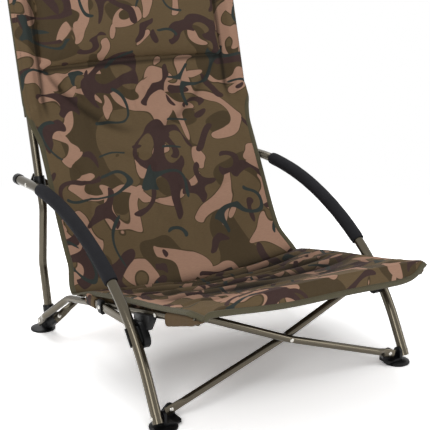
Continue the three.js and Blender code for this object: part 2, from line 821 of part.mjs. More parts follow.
const bracketCrossPin = (offset) => pin(
  backward(rearCrossTop, offset + flatHalf),
  backward(rearCrossTop, offset - flatHalf - pinDepth),
);
const armPin = () => pin(
  armPivot.clone().setX(-armX - armTubeD / 2 - gap),
  armPivot.clone().setX(-postX - postTubeD / 2 - slideGap),
);

// Arm leg, its end cap and its foam grip
function armLeg() {
  return cut(hollowTube(armPath, armTubeD, tubeWall), [sideBore(armPivot), sideBore(footPivot)]);
}

function armCap() {
  const backEnd = armPath[0].clone().sub(armPath[1]).normalize();
  const alongEnd = (length) => armPath[0].clone().addScaledVector(backEnd, length);
  const inner = armTubeD + 2 * gap;
  const cup = bar(alongEnd(capDome), alongEnd(-capLength), inner + 2 * capWall, roundSides);
  return cup.subtract(bar(alongEnd(gap), alongEnd(-2 * capLength), inner, roundSides));
}

function armGrip() {
  const start = armRearOverhang + gripStart;
  const path = pathBetween(armPath, start, start + gripLength);
  const room = skin(extended(path, cutOverrun), armTubeD + 2 * gap, sideNormal);
  return skin(path, gripD, sideNormal).subtract(room);
}

// Leg bracket: a saddle behind the leg, cheeks for the stay, a plate by the leg and a ledge for the rail
const lowRivetAt = legAt(bracketLowZ).add(vec(0, bracketLowBehind, 0)).setX(stayX);
const cheekOut = stayX - stayThickness / 2 - gap - bracketCheek;
const cheekIn = stayX + stayThickness / 2 + gap + bracketCheek;

function legBracket() {
  const low = legAt(bracketLowZ);
  const high = legAt(stayLegZ);
  const collarOuter = armTubeD + 2 * bracketCollarWall;
  const ends = extended([low, high], bracketBossR);
  const rearward = high.clone().sub(low).cross(sideNormal).normalize();
  const saddle = bar(ends[0], ends.at(-1), collarOuter, roundSides)
    .trimByPlane(rearward.toArray(), rearward.dot(low));
  const cheeks = wasm.Manifold.hull(
    [low, high, lowRivetAt, stayLegPin].map((point) => sideDisc(point, cheekOut, cheekIn, bracketBossR)),
  );
  const plate = wasm.Manifold.hull(
    [low, high].map((point) => sideDisc(point, -armX + armTubeD / 2 + gap, cheekIn, bracketFrontR)),
  );
  const front = high.y - ledgeFront;
  const back = high.y + ledgeRear;
  const under = railZ(high.y) - railTubeD / 2 - ledgeDepth;
  const ledge = new THREE.Shape([
    flatPoint(front, railZ(front)),
    flatPoint(front, railZ(front) - ledgeDepth / 2),
    flatPoint(mix(front, high.y, ledgeTaperShare), under),
    flatPoint(mix(back, high.y, ledgeTaperShare), under),
    flatPoint(back, railZ(back) - ledgeDepth / 2),
    flatPoint(back, railZ(back)),
  ]);
  const shelf = sidePlate(ledge, cheekIn - bracketCheek, railX(high.y));
  const railRoom = skin(extended(railPath, cutOverrun), railTubeD + 2 * gap, sideNormal);
  const legRoom = skin(armPath, armTubeD + 2 * gap, sideNormal);
  const stayRoom = sideDisc(stayLegPin, cheekOut + bracketCheek, cheekIn - bracketCheek, stayEndRoom);
  return cut(union([saddle, cheeks, plate, shelf]), [
    railRoom, legRoom, stayRoom, sideBore(lowRivetAt), sideBore(stayLegPin),
  ]);
}

const cheekRivet = (point) => rivet(point.clone().setX(cheekOut - gap), point.clone().setX(cheekIn + gap));

// Front foot: the leg is pinned outside its bracket, and the crossed tube on an ear inside it
function frontFootBracket(offset) {
  const earFace = frontCrossY + offset + flatHalf;
  const earBack = earFace + earThickness;
  const cheekFace = -armX + armTubeD / 2 + gap;
  const cheekBack = cheekFace + earThickness;
  const low = footHeight + gap;
  const lowTop = footHeight + bracketBaseHeight;
  const legCheek = wasm.Manifold.hull([
    sideDisc(footPivot, cheekFace, cheekBack, earR),
    roundedBlock(cheekFace, cheekBack, footPivot.y - earR, earBack, low, lowTop, gap),
  ]);
  const crossPinAt = vec(-frontCrossX, earFace, frontCrossBottomZ);
  const crossEar = wasm.Manifold.hull([
    bar(crossPinAt, crossPinAt.clone().setY(earBack), 2 * earR, roundSides),
    roundedBlock(cheekFace, -frontCrossX + earR, earFace, earBack, low, lowTop, gap),
  ]);
  const plate = roundedBlock(
    cheekFace, -frontCrossX + earR, footPivot.y - earR, frontFootY + plateReach, low, lowTop, sliderCorner,
  );
  const tubeRoom = bar(vec(-frontCrossX, earFace, frontCrossBottomZ),
    vec(-frontCrossX, footPivot.y - footD, frontCrossBottomZ), 2 * tubeEndRoom, roundSides);
  return cut(union([legCheek, crossEar, plate.subtract(tubeRoom)]), [
    sideBore(footPivot, outside, cheekFace + pinDepth + gap),
    bore(crossPinAt.clone().setY(earFace - gap), crossPinAt.clone().setY(earFace + pinDepth + gap)),
  ]);
}

const frontCrossPinAt = vec(-frontCrossX, frontCrossY, frontCrossBottomZ);
const frontCrossPin = (offset) => pin(
  frontCrossPinAt.clone().add(vec(0, offset - flatHalf, 0)),
  frontCrossPinAt.clone().add(vec(0, offset + flatHalf + pinDepth, 0)),
);
const legFootPin = () => pin(
  footPivot.clone().setX(-armX - armTubeD / 2 - gap),
  footPivot.clone().setX(-armX + armTubeD / 2 + gap + pinDepth),
);

// Crossed tubes, each drawn from its lower pin at the left to its upper end at the right
const rearMid = rearCrossBottom.clone().add(rearCrossTop).multiplyScalar(1 / 2).setX(0);
const crossBack = crossOffset + crossTubeD / 2 + gap;
const throughCross = (point) => bore(backward(point, -2 * crossBack), backward(point, 2 * crossBack));

function rearCrossTube(offset) {
  const bottom = backward(rearCrossBottom, offset);
  const top = backward(rearCrossTop, offset).setX(rearCrossX);
  const tube = pressedTube(extended([bottom, top], pressedLength), crossTubeD, leanBack, true, true);
  return cut(tube, [throughCross(bottom), throughCross(top), throughCross(rearMid)]);
}

const rearMidRivet = () => rivet(backward(rearMid, -crossBack), backward(rearMid, crossBack));

function frontCrossTube(offset) {
  const shift = vec(0, offset, 0);
  const bottom = frontCrossPinAt.clone().add(shift);
  const middle = frontMid.clone().add(shift);
  const top = vec(frontCrossTopX, frontCrossY, frontCrossTopZ).add(shift);
  const start = extended([bottom, middle], pressedLength)[0];
  const path = roundedPath([start, middle, top], crossBendRadius);
  const tube = pressedTube(path, crossTubeD, vec(0, 1, 0), true, false);
  const atY = (point, y) => point.clone().setY(y);
  const reach = 2 * crossBack;
  const through = (point) => bore(atY(point, frontCrossY - reach), atY(point, frontCrossY + reach));
  return cut(tube, [through(bottom), through(middle)]);
}

// The rivet at the front crossing is drawn through the front tube, because the pair is opened there
const frontMid = vec(0, frontCrossY, frontCrossMidZ);
const frontMidRivet = () => pin(
  frontMid.clone().setY(frontCrossY - crossBack),
  frontMid.clone().setY(frontCrossY - gap),
);

// Rail and stay
function sideRail() {
  const tube = pressedTube(railPath, railTubeD, sideNormal, true, false);
  const studBore = bore(studAt(-railTubeD), studAt(gap));
  return cut(tube, [sideBore(railPin), sideBore(stayRailPin), studBore]);
}

const alongStay = (point, length) => point.clone().addScaledVector(stayDirection, length);

// A flat bar along the stay's line, with rounded edges
function stayBar(from, to, height, thickness) {
  return skin([from, to], railTubeD, sideNormal, [1, 1], thickness, height);
}

function stay() {
  const body = stayBar(alongStay(stayLegPin, -stayEnd), stayRear, stayHeight, stayThickness);
  return cut(body, [sideBore(stayLegPin), sideBore(stayRailPin)]);
}

function stayClip() {
  const from = alongStay(stayRailPin, -clipLength / 2);
  const to = alongStay(stayRailPin, clipLength / 2);
  const shell = stayBar(from, to, clipHeight, stayThickness + 2 * (clipWall + gap));
  const room = stayBar(alongStay(from, -cutOverrun), alongStay(to, cutOverrun), stayHeight + 2 * gap,
    stayThickness + 2 * gap);
  const openAt = stayX + stayThickness / 2;
  const open = roundedBlock(openAt, openAt + railTubeD, from.y - clipLength, to.y + clipLength,
    stayRailPin.z - 2 * stayHeight, stayRailPin.z + 2 * stayHeight, gap);
  return cut(shell, [room, open, sideBore(stayRailPin)]);
}

// The stay's rivet is drawn up to the rail's face, because the linkage is opened at this pivot
const stayRivet = () => pin(
  stayRailPin.clone().setX(stayX - stayThickness / 2 - clipWall - 2 * gap),
  stayRailPin.clone().setX(stayX + stayThickness / 2),
);

// Pockets: the fabric's corners, slipped over the rail's tip and the stay's rear end
const pocketSides = 12;
const pocketRings = 5;
const pocketSquareShare = 0.4;
const railForward = railTip.clone().sub(railBend).normalize();
const alongRail = (length) => railTip.clone().addScaledVector(railForward, length);

function pocketRing(point, halfWidth, depth) {
  const under = (x) => seatSurface(Math.max(-1, x / seatHalfWidth(point.y)), point.y).z - half - gap;
  return Array.from({ length: pocketSides }, (_, side) => {
    const angle = ((side + 1 / 2) / pocketSides) * 2 * Math.PI;
    const x = point.x + halfWidth * Math.cos(angle);
    const share = Math.abs(Math.sin(angle)) ** pocketSquareShare;
    return vec(x, point.y, mix(point.z, Math.sin(angle) > 0 ? under(x) : point.z - depth, share));
  });
}

function frontPocket() {
  const rings = steps(pocketRings).map((share) => {
    const point = alongRail(mix(pocketFront - pocketLength, pocketFront, share));
    const closing = smooth((share - pocketTipShare) / (1 - pocketTipShare));
    const halfWidth = pocketHalfWidth - clothThickness * closing;
    return pocketRing(point, halfWidth, mix(pocketDepth, pocketTipDepth, share));
  });
  const room = skin([railBend, alongRail(gap)], railTubeD + 2 * gap, sideNormal);
  return cut(loft(rings), [room, seatSheet(half + gap, half + gap)]);
}

// A stud in the rail behind the pocket, whose hem buttons over it
const studAt = (x) => alongRail(-studBehind).add(vec(x, 0, 0));
const pocketStud = () => pin(studAt(-railTubeD / 2 - gap), studAt(0));

// A loop of the seat's hem that holds the stay's rear end
function rearLoop() {
  const from = alongStay(stayRear, -loopLength);
  const to = alongStay(stayRear, loopWall);
  const round = stayBar(from, to, stayHeight + 2 * loopWall, stayThickness + 2 * loopWall);
  const hemAt = (y) => vec(loopHemD / 2 - seatHalfWidth(y), y, seatEdgeZ(y));
  const body = wasm.Manifold.hull([round, bar(hemAt(from.y), hemAt(to.y), loopHemD)]);
  const room = stayBar(alongStay(from, -loopLength), alongStay(stayRear, gap), stayHeight + 2 * gap,
    stayThickness + 2 * gap);
  const railRoom = skin(railPath, railTubeD + 2 * gap, sideNormal);
  return cut(body, [room, railRoom]);
}

function seatSling() {
  const loop = rearLoop();
  return union([seatSheet(half, half), loop, loop.mirror([1, 0, 0])]);
}

// Sleeves: the fabric's closed tubes over the tops of the posts
function backSleeve() {
  const at = (z) => vec(-postX, postY(z), z);
  const body = bar(at(sleeveStartZ), at(backTopZ), 2 * sleeveR, roundSides);
  const roomD = postTubeD + 2 * slideGap;
  const room = bar(at(sleeveStartZ - clothThickness), at(postTopZ + gap), roomD, roundSides);
  const widen = 1 + gap / backHalfWidthHigh;
  const sling = backSheet(half + gap, half + gap).scale([widen, 1, 1]);
  return cut(body, [room, sling]);
}

// Assembly
const chair = new THREE.Group();

function place(name, body, material, mirrored = false) {
  const mesh = new THREE.Mesh(geometryOf(mirrored ? body.mirror([1, 0, 0]) : body), material);
  mesh.name = name;
  chair.add(mesh);
}

// Of each crossed pair, the tube that starts at one side lies in front, so the sides' ears stand differently
const sides = [
  { side: 'left', mirrored: false, rearFoot: -crossOffset, rearTop: crossOffset, front: crossOffset },
  { side: 'right', mirrored: true, rearFoot: crossOffset, rearTop: -crossOffset, front: -crossOffset },
];

for (const { side, mirrored, rearFoot, rearTop, front } of sides) {
  const add = (name, body, material) => place(`${name}_${side}`, body, material, mirrored);
  add('back_post', hollowTube(postPath, postTubeD, tubeWall), framePaint);
  add('rear_foot', mudFoot(rearFootY), blackPlastic);
  add('rear_foot_bracket', rearFootBracket(rearFoot), blackPlastic);
  add('rear_cross_pin', rearCrossPin(rearFoot), rivetSteel);
  add('rail_foot_pin', railFootPin(), rivetSteel);
  add('arm_bracket', armBracket(rearTop), blackPlastic);
  add('arm_pin', armPin(), rivetSteel);
  add('bracket_cross_pin', bracketCrossPin(rearTop), rivetSteel);
  add('arm_leg', armLeg(), framePaint);
  add('arm_cap', armCap(), blackPlastic);
  add('arm_grip', armGrip(), blackFoam);
  add('leg_bracket', legBracket(), blackPlastic);
  add('leg_bracket_rivet', cheekRivet(lowRivetAt), rivetSteel);
  add('stay_leg_rivet', cheekRivet(stayLegPin), rivetSteel);
  add('front_foot', mudFoot(frontFootY), blackPlastic);
  add('front_foot_bracket', frontFootBracket(front), blackPlastic);
  add('front_cross_pin', frontCrossPin(front), rivetSteel);
  add('leg_foot_pin', legFootPin(), rivetSteel);
  add('front_cross_tube', frontCrossTube(front), framePaint);
  add('seat_rail', sideRail(), framePaint);
  add('seat_stay', stay(), framePaint);
  add('stay_clip', stayClip(), blackPlastic);
  add('stay_rivet', stayRivet(), rivetSteel);
  add('front_pocket', frontPocket(), printedCloth);
  add('pocket_stud', pocketStud(), rivetSteel);
  add('back_sleeve', backSleeve(), printedCloth);
}

place('rear_cross_tube_a', rearCrossTube(-crossOffset), framePaint);
place('rear_cross_tube_b', rearCrossTube(crossOffset), framePaint, true);
place('rear_cross_rivet', rearMidRivet(), rivetSteel);
place('front_cross_rivet', frontMidRivet(), rivetSteel);
place('seat_sling', seatSling(), printedCloth);
place('back_sling', backSheet(half, half), printedCloth);
place('head_pillow', pillow(), printedCloth);

// The origin is on the floor under the middle of the chair's box
const box = new THREE.Box3().setFromObject(chair);
chair.position.y = -(box.min.y + box.max.y) / 2;

export default chair;
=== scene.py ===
import math

import bmesh
import bpy
from bpy.props import FloatProperty, FloatVectorProperty, PointerProperty
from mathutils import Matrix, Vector, noise


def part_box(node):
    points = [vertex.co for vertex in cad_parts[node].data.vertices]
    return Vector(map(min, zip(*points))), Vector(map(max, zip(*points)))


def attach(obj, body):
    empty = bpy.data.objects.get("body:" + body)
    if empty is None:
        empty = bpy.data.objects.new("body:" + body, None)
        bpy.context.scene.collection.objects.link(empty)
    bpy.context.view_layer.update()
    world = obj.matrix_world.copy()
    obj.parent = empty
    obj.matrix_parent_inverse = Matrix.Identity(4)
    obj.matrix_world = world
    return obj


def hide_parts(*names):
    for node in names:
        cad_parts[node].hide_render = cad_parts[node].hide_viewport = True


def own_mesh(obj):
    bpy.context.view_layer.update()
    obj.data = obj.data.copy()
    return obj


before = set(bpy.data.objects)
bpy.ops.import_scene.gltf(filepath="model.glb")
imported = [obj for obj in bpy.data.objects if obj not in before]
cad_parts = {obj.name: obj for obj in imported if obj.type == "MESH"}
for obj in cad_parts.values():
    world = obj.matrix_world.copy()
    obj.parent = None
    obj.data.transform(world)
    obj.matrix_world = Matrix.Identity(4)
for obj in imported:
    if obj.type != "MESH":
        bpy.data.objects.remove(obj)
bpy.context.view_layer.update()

bl_info = {
    "name": "Folding fishing chair",
    "version": (1, 0, 0),
    "blender": (4, 5, 0),
    "location": "3D View > Sidebar > Chair",
    "description": "Dresses a low folding fishing chair in painted tubes, foam grips and printed cloth",
    "category": "Object",
}

# Stance of the chair, in metres, with the floor at 0 and the front towards -Y
SIDES = {"left": -1, "right": 1}
FOOT_X = 0.296
FRONT_FOOT_Y = -0.296
REAR_FOOT_Y = 0.296
front_low, front_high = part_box("front_foot_left")
SHIFT = Vector((0, (front_low.y + front_high.y) / 2 - FRONT_FOOT_Y, 0))

# Back posts
POST_X = 0.288
POST_FOOT_Y = REAR_FOOT_Y - 0.022
POST_FOOT_Z = 0.044
LOW_BEND_Y = POST_FOOT_Y + 0.026
LOW_BEND_Z = 0.165
HIGH_BEND_Y = POST_FOOT_Y + 0.009
HIGH_BEND_Z = 0.303
LEAN = math.radians(15.1)
POST_TOP = 0.856
LEAN_UP = Vector((0, math.sin(LEAN), math.cos(LEAN)))
LEAN_BACK = Vector((0, math.cos(LEAN), -math.sin(LEAN)))

# Arm legs
ARM_X = 0.312
ARM_PIVOT_Z = 0.358
ARM_OVERHANG = 0.074
ARM_STRAIGHT = 0.017
LEG_STRAIGHT = 0.060
LEG_TAIL = 0.012
HEADINGS = [math.radians(angle) for angle in (-2, 34, 61.5)]
FOOT_PIVOT = Vector((-ARM_X, FRONT_FOOT_Y - 0.002, 0.025))

# Seat rails, stays and crossed tubes
RAIL_PIN = Vector((-FOOT_X - 0.0135, REAR_FOOT_Y - 0.020, 0.030))
RAIL_BEND = Vector((-FOOT_X + 0.008, REAR_FOOT_Y - 0.138, 0.120))
RAIL_TIP = Vector((-FOOT_X + 0.026, FRONT_FOOT_Y - 0.089, 0.245))
RAIL_FLAT = 0.032
STAY_X = 0.29607
STAY_PIN_Y = -0.032
STAY_LEG_Y = -0.166854
STAY_LEG_Z = 0.171
STAY_REACH = 0.064
CROSS_GAP = 0.0084
FRONT_CROSS_Y = FRONT_FOOT_Y + 0.004
FRONT_CROSS_X = FOOT_X - 0.024
FRONT_CROSS_FOOT_Z = 0.027
FRONT_CROSS_RIVET_Z = 0.121
FRONT_CROSS_TOP_X = 0.246
FRONT_CROSS_BEND = 0.140
REAR_CROSS_FOOT_Z = 0.046
BEND_RADIUS = 0.070

# Cloth
SEAT_REAR_Y = 0.100
SEAT_FRONT_Y = FRONT_FOOT_Y - 0.104
SEAT_LIFT = 0.021
SEAT_REAR_CORNER_X = 0.302
BAND_HEIGHT = 0.040
BAND_POWER = {-1: 2.2, 1: 12.0}
TIP_DROP = {-1: 0.0110, 1: -0.0045}
SEAT_CREASES = (
    (0.052, 0.010, 0.012, 0.0075, 0.0085, 0.30, 0.75), (0.022, -0.014, 0.010, 0.0085, 0.0090, -0.25, 0.80),
    (-0.010, 0.022, 0.016, 0.0080, 0.0085, 0.35, 0.70), (-0.044, -0.010, 0.020, 0.0090, 0.0095, -0.05, 0.90),
    (-0.078, 0.016, 0.012, 0.0070, 0.0085, -0.45, 0.55), (-0.098, -0.018, 0.024, 0.0080, 0.0090, 0.40, 0.60),
    (-0.134, 0.012, 0.020, 0.0075, 0.0095, -0.10, 0.80), (-0.176, -0.012, 0.018, 0.0060, 0.0090, 0.25, 0.70),
    (-0.214, 0.010, 0.014, 0.0050, 0.0090, -0.35, 0.60), (-0.262, -0.006, 0.010, 0.0040, 0.0095, 0.05, 0.75),
)
JOIN_Z = 0.535
SLEEVE_Z = 0.508
FREE_EDGE_X = 0.2855
SLEEVE_SEAM_X = 0.2530
SLEEVE_EDGE_X = 0.3020
SLEEVE_PUFF = 0.0172
BACK_EDGE_AHEAD = 0.105
BACK_TOP = POST_TOP + 0.006
PILLOW_LOW = 0.608
PILLOW_HIGH = 0.846


# Shape of the seat's cloth
SEAT_OVERHANG = 0.0075
FLARE_DEPTH = 0.070
CORNER_PULL = 0.010
CORNER_DEPTH = 0.045
EDGE_HUMP = 0.007
HUMP_RISE = 0.080
HUMP_FALL_Y = -0.050
HUMP_FALL = 0.250
REAR_DROP = 0.004
REAR_DROP_DEPTH = 0.050
FAN_REACH = 0.170
FAN_FOLDS = 7
FAN_HEIGHT = 0.004
FRONT_RISE = 0.014
FRONT_RISE_DEPTH = 0.120
SEAT_SAG = 0.030
SEAT_FRONT_SAG = 0.002
EDGE_CURL = 0.007
CURL_START_SHARE = 0.962
SMALL_FOLD_SHARE = 1.3

# Shape of the back's cloth
EDGE_SWING = 0.055
SLEEVE_SWING_Z = 0.440
SLEEVE_SWING = 0.080
PUFF_RISE = 0.027
PUFF_RADIUS = 0.0146
PUFF_START_Z = 0.478
PUFF_START = 0.050
LONG_FOLD_REACH = 0.250
LONG_FOLD_LOW_Z = 0.450
LONG_FOLD_HIGH_Z = 0.628
LONG_FOLD_RIDGE = 0.0042
LONG_FOLD_RIDGE_OFF = 0.024
LONG_FOLD_RIDGE_WIDTH = 0.015
LONG_FOLD_DEPTH = 0.0065
LONG_FOLD_WIDTH = 0.011
BACK_SAG = 0.030
BACK_RIPPLE = 0.003

# Sewing
BACK_TAPE = 0.0040
SEAT_TAPE = 0.0042
HEM_TAPE = 0.0046
HEM_WIDTH = 0.012
STITCH_LIFT = 0.0022
SEAM_LIFT = 0.0014
PILLOW_SEAM_LIFT = 0.0046
THREAD_RADIUS = 0.00045
EDGE_SEAM_SHARE = 0.978
# Most painted shade that a point of the cloth takes, as a share of the way to near-black
DARKEST_PAINTED_SHADE = 0.92

# Print: each limb's offset, turn, scale, width, cut and steepness, in the noise's own units
PRINT_WARP = 0.3
PRINT_LIMBS = {
    "tan": ((15.3, -0.6, 0.9, 0.090, 0.58, 1.5), (37.9, 0.5, 1.0, 0.085, 0.60, 1.5)),
    "brown": ((44.7, 0.3, 0.9, 0.075, 0.61, 1.5), (63.3, -0.9, 1.2, 0.070, 0.63, 1.5)),
    "teal": ((81.9, 0.9, 1.0, 0.034, 0.58, 1.2),),
}
# Near-black colour of the painted shade in the cloth's folds, grooves and joins
PAINTED_FOLD_SHADE = (0.004, 0.003, 0.002, 1)
TUBE_SIDES = 32

# Lamps: name, place, aim, width and height, and power in watts
LAMPS = (
    ("Key", (-1.9, -1.9, 1.70), (0, 0, 0.45), (0.9, 2.6), 36),
    ("Fill", (2.1, -1.8, 1.25), (0, 0, 0.45), (0.7, 2.0), 15),
    ("Top", (0.1, 1.35, 2.3), (0, -0.1, 0.1), (1.7, 1.7), 32),
)


def post_y(z):
    return HIGH_BEND_Y + (z - HIGH_BEND_Z) * math.tan(LEAN)


def mix(a, b, share):
    return a + (b - a) * share


def clamp(value):
    return min(1.0, max(0.0, value))


def smooth(value):
    value = clamp(value)
    return value * value * (3 - 2 * value)


def spaced(low, high, count):
    """Places from low to high, with count equal steps between them."""
    return [mix(low, high, i / count) for i in range(count + 1)]


def rail_share(y):
    return (RAIL_BEND.y - y) / (RAIL_BEND.y - RAIL_TIP.y)


def rail_z(y):
    return mix(RAIL_BEND.z, RAIL_TIP.z, rail_share(y))


def rail_x(y):
    return mix(RAIL_BEND.x, RAIL_TIP.x, rail_share(y))


# Sizes and colours that a user would change

def size(name, text, default, low=0.0, high=1.0):
    return FloatProperty(name=name, description=text, default=default, min=low, max=high, unit="LENGTH")


def share(name, text, default, high=1.0):
    return FloatProperty(name=name, description=text, default=default, min=0.0, max=high)


def colour(name, text, code):
    parts = [int(code[i:i + 2], 16) / 255 for i in (0, 2, 4)]
    value = [c / 12.92 if c <= 0.04045 else ((c + 0.055) / 1.055) ** 2.4 for c in parts]
    return FloatVectorProperty(
        name=name, description=text, default=value, size=3, min=0, max=1, subtype="COLOR")


class FrameSettings(bpy.types.PropertyGroup):
    arm_tube: size("Arm leg tube", "Outside diameter of the bent arm legs", 0.022)
    post_tube: size("Post tube", "Outside diameter of the back posts", 0.019)
    cross_tube: size("Crossed tube", "Outside diameter of the crossed tubes", 0.016)
    rail_tube: size("Seat rail tube", "Outside diameter of the seat rails", 0.016)
    pressed_thickness: size("Pressed thickness", "Thickness of a tube's pressed end", 0.005)
    pressed_width: size("Pressed width", "Width of a tube's pressed end", 0.020)
    pressed_length: size("Pressed length", "Length from a pressed end to its pin", 0.013)
    press_taper: size("Press taper", "Length over which a tube turns from round to pressed", 0.024)
    moulding_edge: size("Moulding edge", "Radius of the mouldings' edges", 0.0007)
    rivet_head: size("Rivet head", "Radius of a rivet's head", 0.0047)
    paint: colour("Paint", "Satin paint of the tubes", "5C564A")
    plastic: colour("Plastic", "Moulded feet, brackets and caps", "0C0C0D")
    steel: colour("Rivet steel", "Plated rivets", "D2CFC8")


class ClothSettings(bpy.types.PropertyGroup):
    thickness: size("Cloth thickness", "Thickness of the double cloth", 0.0022)
    binding_width: size("Binding width", "Width of the tape round the edges", 0.0135)
    stitch_length: size("Stitch length", "Length of one stitch", 0.0032)
    stitch_pitch: size("Stitch pitch", "Distance from stitch to stitch", 0.0046)
    fold_height: size("Fold height", "Height of the folds in the seat and back", 0.0030)
    print_scale: FloatProperty(
        name="Print scale", description="Blotches for each metre of cloth", default=9.5)
    pocket: colour("Corner pocket", "Plain side of the cloth on the corner pockets", "5A472F")
    olive: colour("Olive", "Ground colour of the print", "65543C")
    dark_olive: colour("Dark olive", "Shaded ground of the print", "4C3F2C")
    tan: colour("Tan", "Light blotches of the print", "A98570")
    brown: colour("Dark brown", "Dark brown blotches of the print", "43322F")
    teal: colour("Dark green", "Dark green branches of the print", "343A37")
    binding: colour("Binding", "Tape round the edges", "4A442B")


class PadSettings(bpy.types.PropertyGroup):
    grip: size("Grip diameter", "Outside diameter of the foam grips", 0.0305)
    grip_start_left: size("Left grip start", "Distance from the arm pivot to the left grip", 0.060)
    grip_start_right: size("Right grip start", "Distance from the arm pivot to the right grip", 0.078)
    grip_length: size("Grip length", "Length of a foam grip along the arm", 0.374)
    pillow_crown: size("Pillow crown", "Height of the head pillow's crown", 0.040)
    pillow_pressure: FloatProperty(
        name="Pillow pressure", description="Filling of the head pillow", default=4.0)
    pillow_swell: size("Pillow swell", "Furthest that the pillow's skin moves when filled", 0.007)
    foam: colour("Foam", "Closed-cell foam of the grips", "222225")


class StageSettings(bpy.types.PropertyGroup):
    light: share("Light", "Level of the lamps", 1.0, 4.0)
    floor: colour("Floor", "Pale floor and backdrop", "FAFAFA")
    azimuth: FloatProperty(name="Camera azimuth", description="Viewing angle round the chair",
                           default=math.radians(-31.604), subtype="ANGLE")
    elevation: FloatProperty(name="Camera elevation", description="Viewing angle above the floor",
                             default=math.radians(15.166), subtype="ANGLE")
    distance: size("Camera distance", "From the camera to the point it turns about", 2.4458, 0.5, 10)
    target_height: size("Target height", "Height of the point the camera turns about", 0.3676)
    focal: FloatProperty(
        name="Focal length", description="Focal length in pixels of the picture", default=1100.4)
    centre_x: FloatProperty(
        name="Centre X", description="Pixel column of the camera's axis", default=213.16)
    centre_y: FloatProperty(
        name="Centre Y", description="Pixel row of the camera's axis", default=190.78)


# Mesh helpers

def make_piece(name, vertices, faces, finish, uvs=None, shift=True, sharp=None):
    """A smooth piece at the origin, with its faces turned outwards and its cloth map in metres."""
    mesh = bpy.data.meshes.new(name)
    moved = [Vector(v) + SHIFT for v in vertices] if shift else vertices
    mesh.from_pydata(moved, [], faces)
    if uvs is not None:
        layer = mesh.uv_layers.new(name="cloth")
        for loop in mesh.loops:
            layer.data[loop.index].uv = uvs[loop.vertex_index]
    turn_out(mesh)
    mesh.polygons.foreach_set("use_smooth", [True] * len(mesh.polygons))
    if sharp is not None:
        mesh.set_sharp_from_angle(angle=math.radians(sharp))
    mesh.materials.append(finish)
    piece = bpy.data.objects.new(name, mesh)
    bpy.context.scene.collection.objects.link(piece)
    return piece


def turn_out(mesh):
    work = bmesh.new()
    work.from_mesh(mesh)
    bmesh.ops.recalc_face_normals(work, faces=work.faces)
    work.to_mesh(mesh)
    work.free()


def keep_result(piece):
    """Replaces a piece's mesh by what its modifiers make, and removes them."""
    graph = bpy.context.evaluated_depsgraph_get()
    mesh = bpy.data.meshes.new_from_object(piece.evaluated_get(graph))
    piece.modifiers.clear()
    old = piece.data
    piece.data = mesh
    mesh.name = piece.name
    bpy.data.meshes.remove(old)
    return piece


def rounded_path(corners, radius, step=math.radians(2.5)):
    points = [corners[0]]
    for before, corner, after in zip(corners, corners[1:], corners[2:]):
        back = (before - corner).normalized()
        ahead = (after - corner).normalized()
        turn = math.pi - back.angle(ahead)
        setback = radius * math.tan(turn / 2)
        centre = corner + (back + ahead).normalized() * (radius / math.cos(turn / 2))
        start = corner + back * setback - centre
        end = corner + ahead * setback - centre
        count = max(2, math.ceil(turn / step))
        for i in range(count + 1):
            part = i / count
            spoke = (start * math.sin((1 - part) * turn) + end * math.sin(part * turn)) / math.sin(turn)
            points.append(centre + spoke)
    points.append(corners[-1])
    return points


def lengths_of(points):
    lengths = [0.0]
    for a, b in zip(points, points[1:]):
        lengths.append(lengths[-1] + (b - a).length)
    return lengths


def point_at(points, lengths, length):
    for i in range(1, len(points)):
        if lengths[i] >= length or i == len(points) - 1:
            part = (length - lengths[i - 1]) / (lengths[i] - lengths[i - 1])
            return points[i - 1].lerp(points[i], part)
    return points[-1]


def resampled(points, pitch, low=0.0, high=None):
    lengths = lengths_of(points)
    high = lengths[-1] if high is None else high
    count = max(2, round((high - low) / pitch))
    marks = spaced(low, high, count)
    return [point_at(points, lengths, mark) for mark in marks], marks


def extended(first, last, length):
    """The ends of a straight piece that runs past two points by a length."""
    return [first + (first - last).normalized() * length, last + (last - first).normalized() * length]


def mirrored(points, side):
    return [Vector((-side * p.x, p.y, p.z)) for p in points]


def loft(rings, closed_ends=True):
    count = len(rings[0])
    vertices = [p for ring in rings for p in ring]
    faces = []
    for row in range(len(rings) - 1):
        for i in range(count):
            a, b = row * count + i, row * count + (i + 1) % count
            faces.append((a, b, b + count, a + count))
    if closed_ends:
        faces.append(tuple(range(count)))
        faces.append(tuple(range(len(vertices) - count, len(vertices))))
    return vertices, faces


def tangents(points):
    out = []
    for i in range(len(points)):
        a, b = points[max(0, i - 1)], points[min(len(points) - 1, i + 1)]
        out.append((b - a).normalized())
    return out


# Node helpers

def feed(tree, node, inputs):
    """Links each input that is given as a socket, and sets the others."""
    for key, value in inputs.items():
        if isinstance(value, bpy.types.NodeSocket):
            tree.links.new(value, node.inputs[key])
        else:
            node.inputs[key].default_value = value


def wire(tree, kind, inputs=None, **options):
    made = tree.nodes.new(kind)
    for name, value in options.items():
        setattr(made, name, value)
    feed(tree, made, inputs or {})
    return made


def sums(tree, operation, a, b=0.0, c=None):
    inputs = {0: a, 1: b}
    if c is not None:
        inputs[2] = c
    return wire(tree, "ShaderNodeMath", inputs, operation=operation).outputs[0]


def vectors(tree, operation, a, b):
    return wire(tree, "ShaderNodeVectorMath", {0: a, 1: b}, operation=operation).outputs[0]


def scaled_vector(tree, vector, factor):
    return wire(tree, "ShaderNodeVectorMath", {0: vector, 3: factor}, operation="SCALE").outputs[0]


def threshold(tree, value, low, high):
    made = wire(tree, "ShaderNodeMapRange", {0: value, 1: low, 2: high}, interpolation_type="SMOOTHSTEP")
    return made.outputs[0]


def scaled_to(tree, value, low, high):
    return wire(tree, "ShaderNodeMapRange", {0: value, 3: low, 4: high}).outputs[0]


def mixed(tree, factor, a, b):
    return wire(tree, "ShaderNodeMix", {0: factor, 6: a, 7: b}, data_type="RGBA").outputs[2]


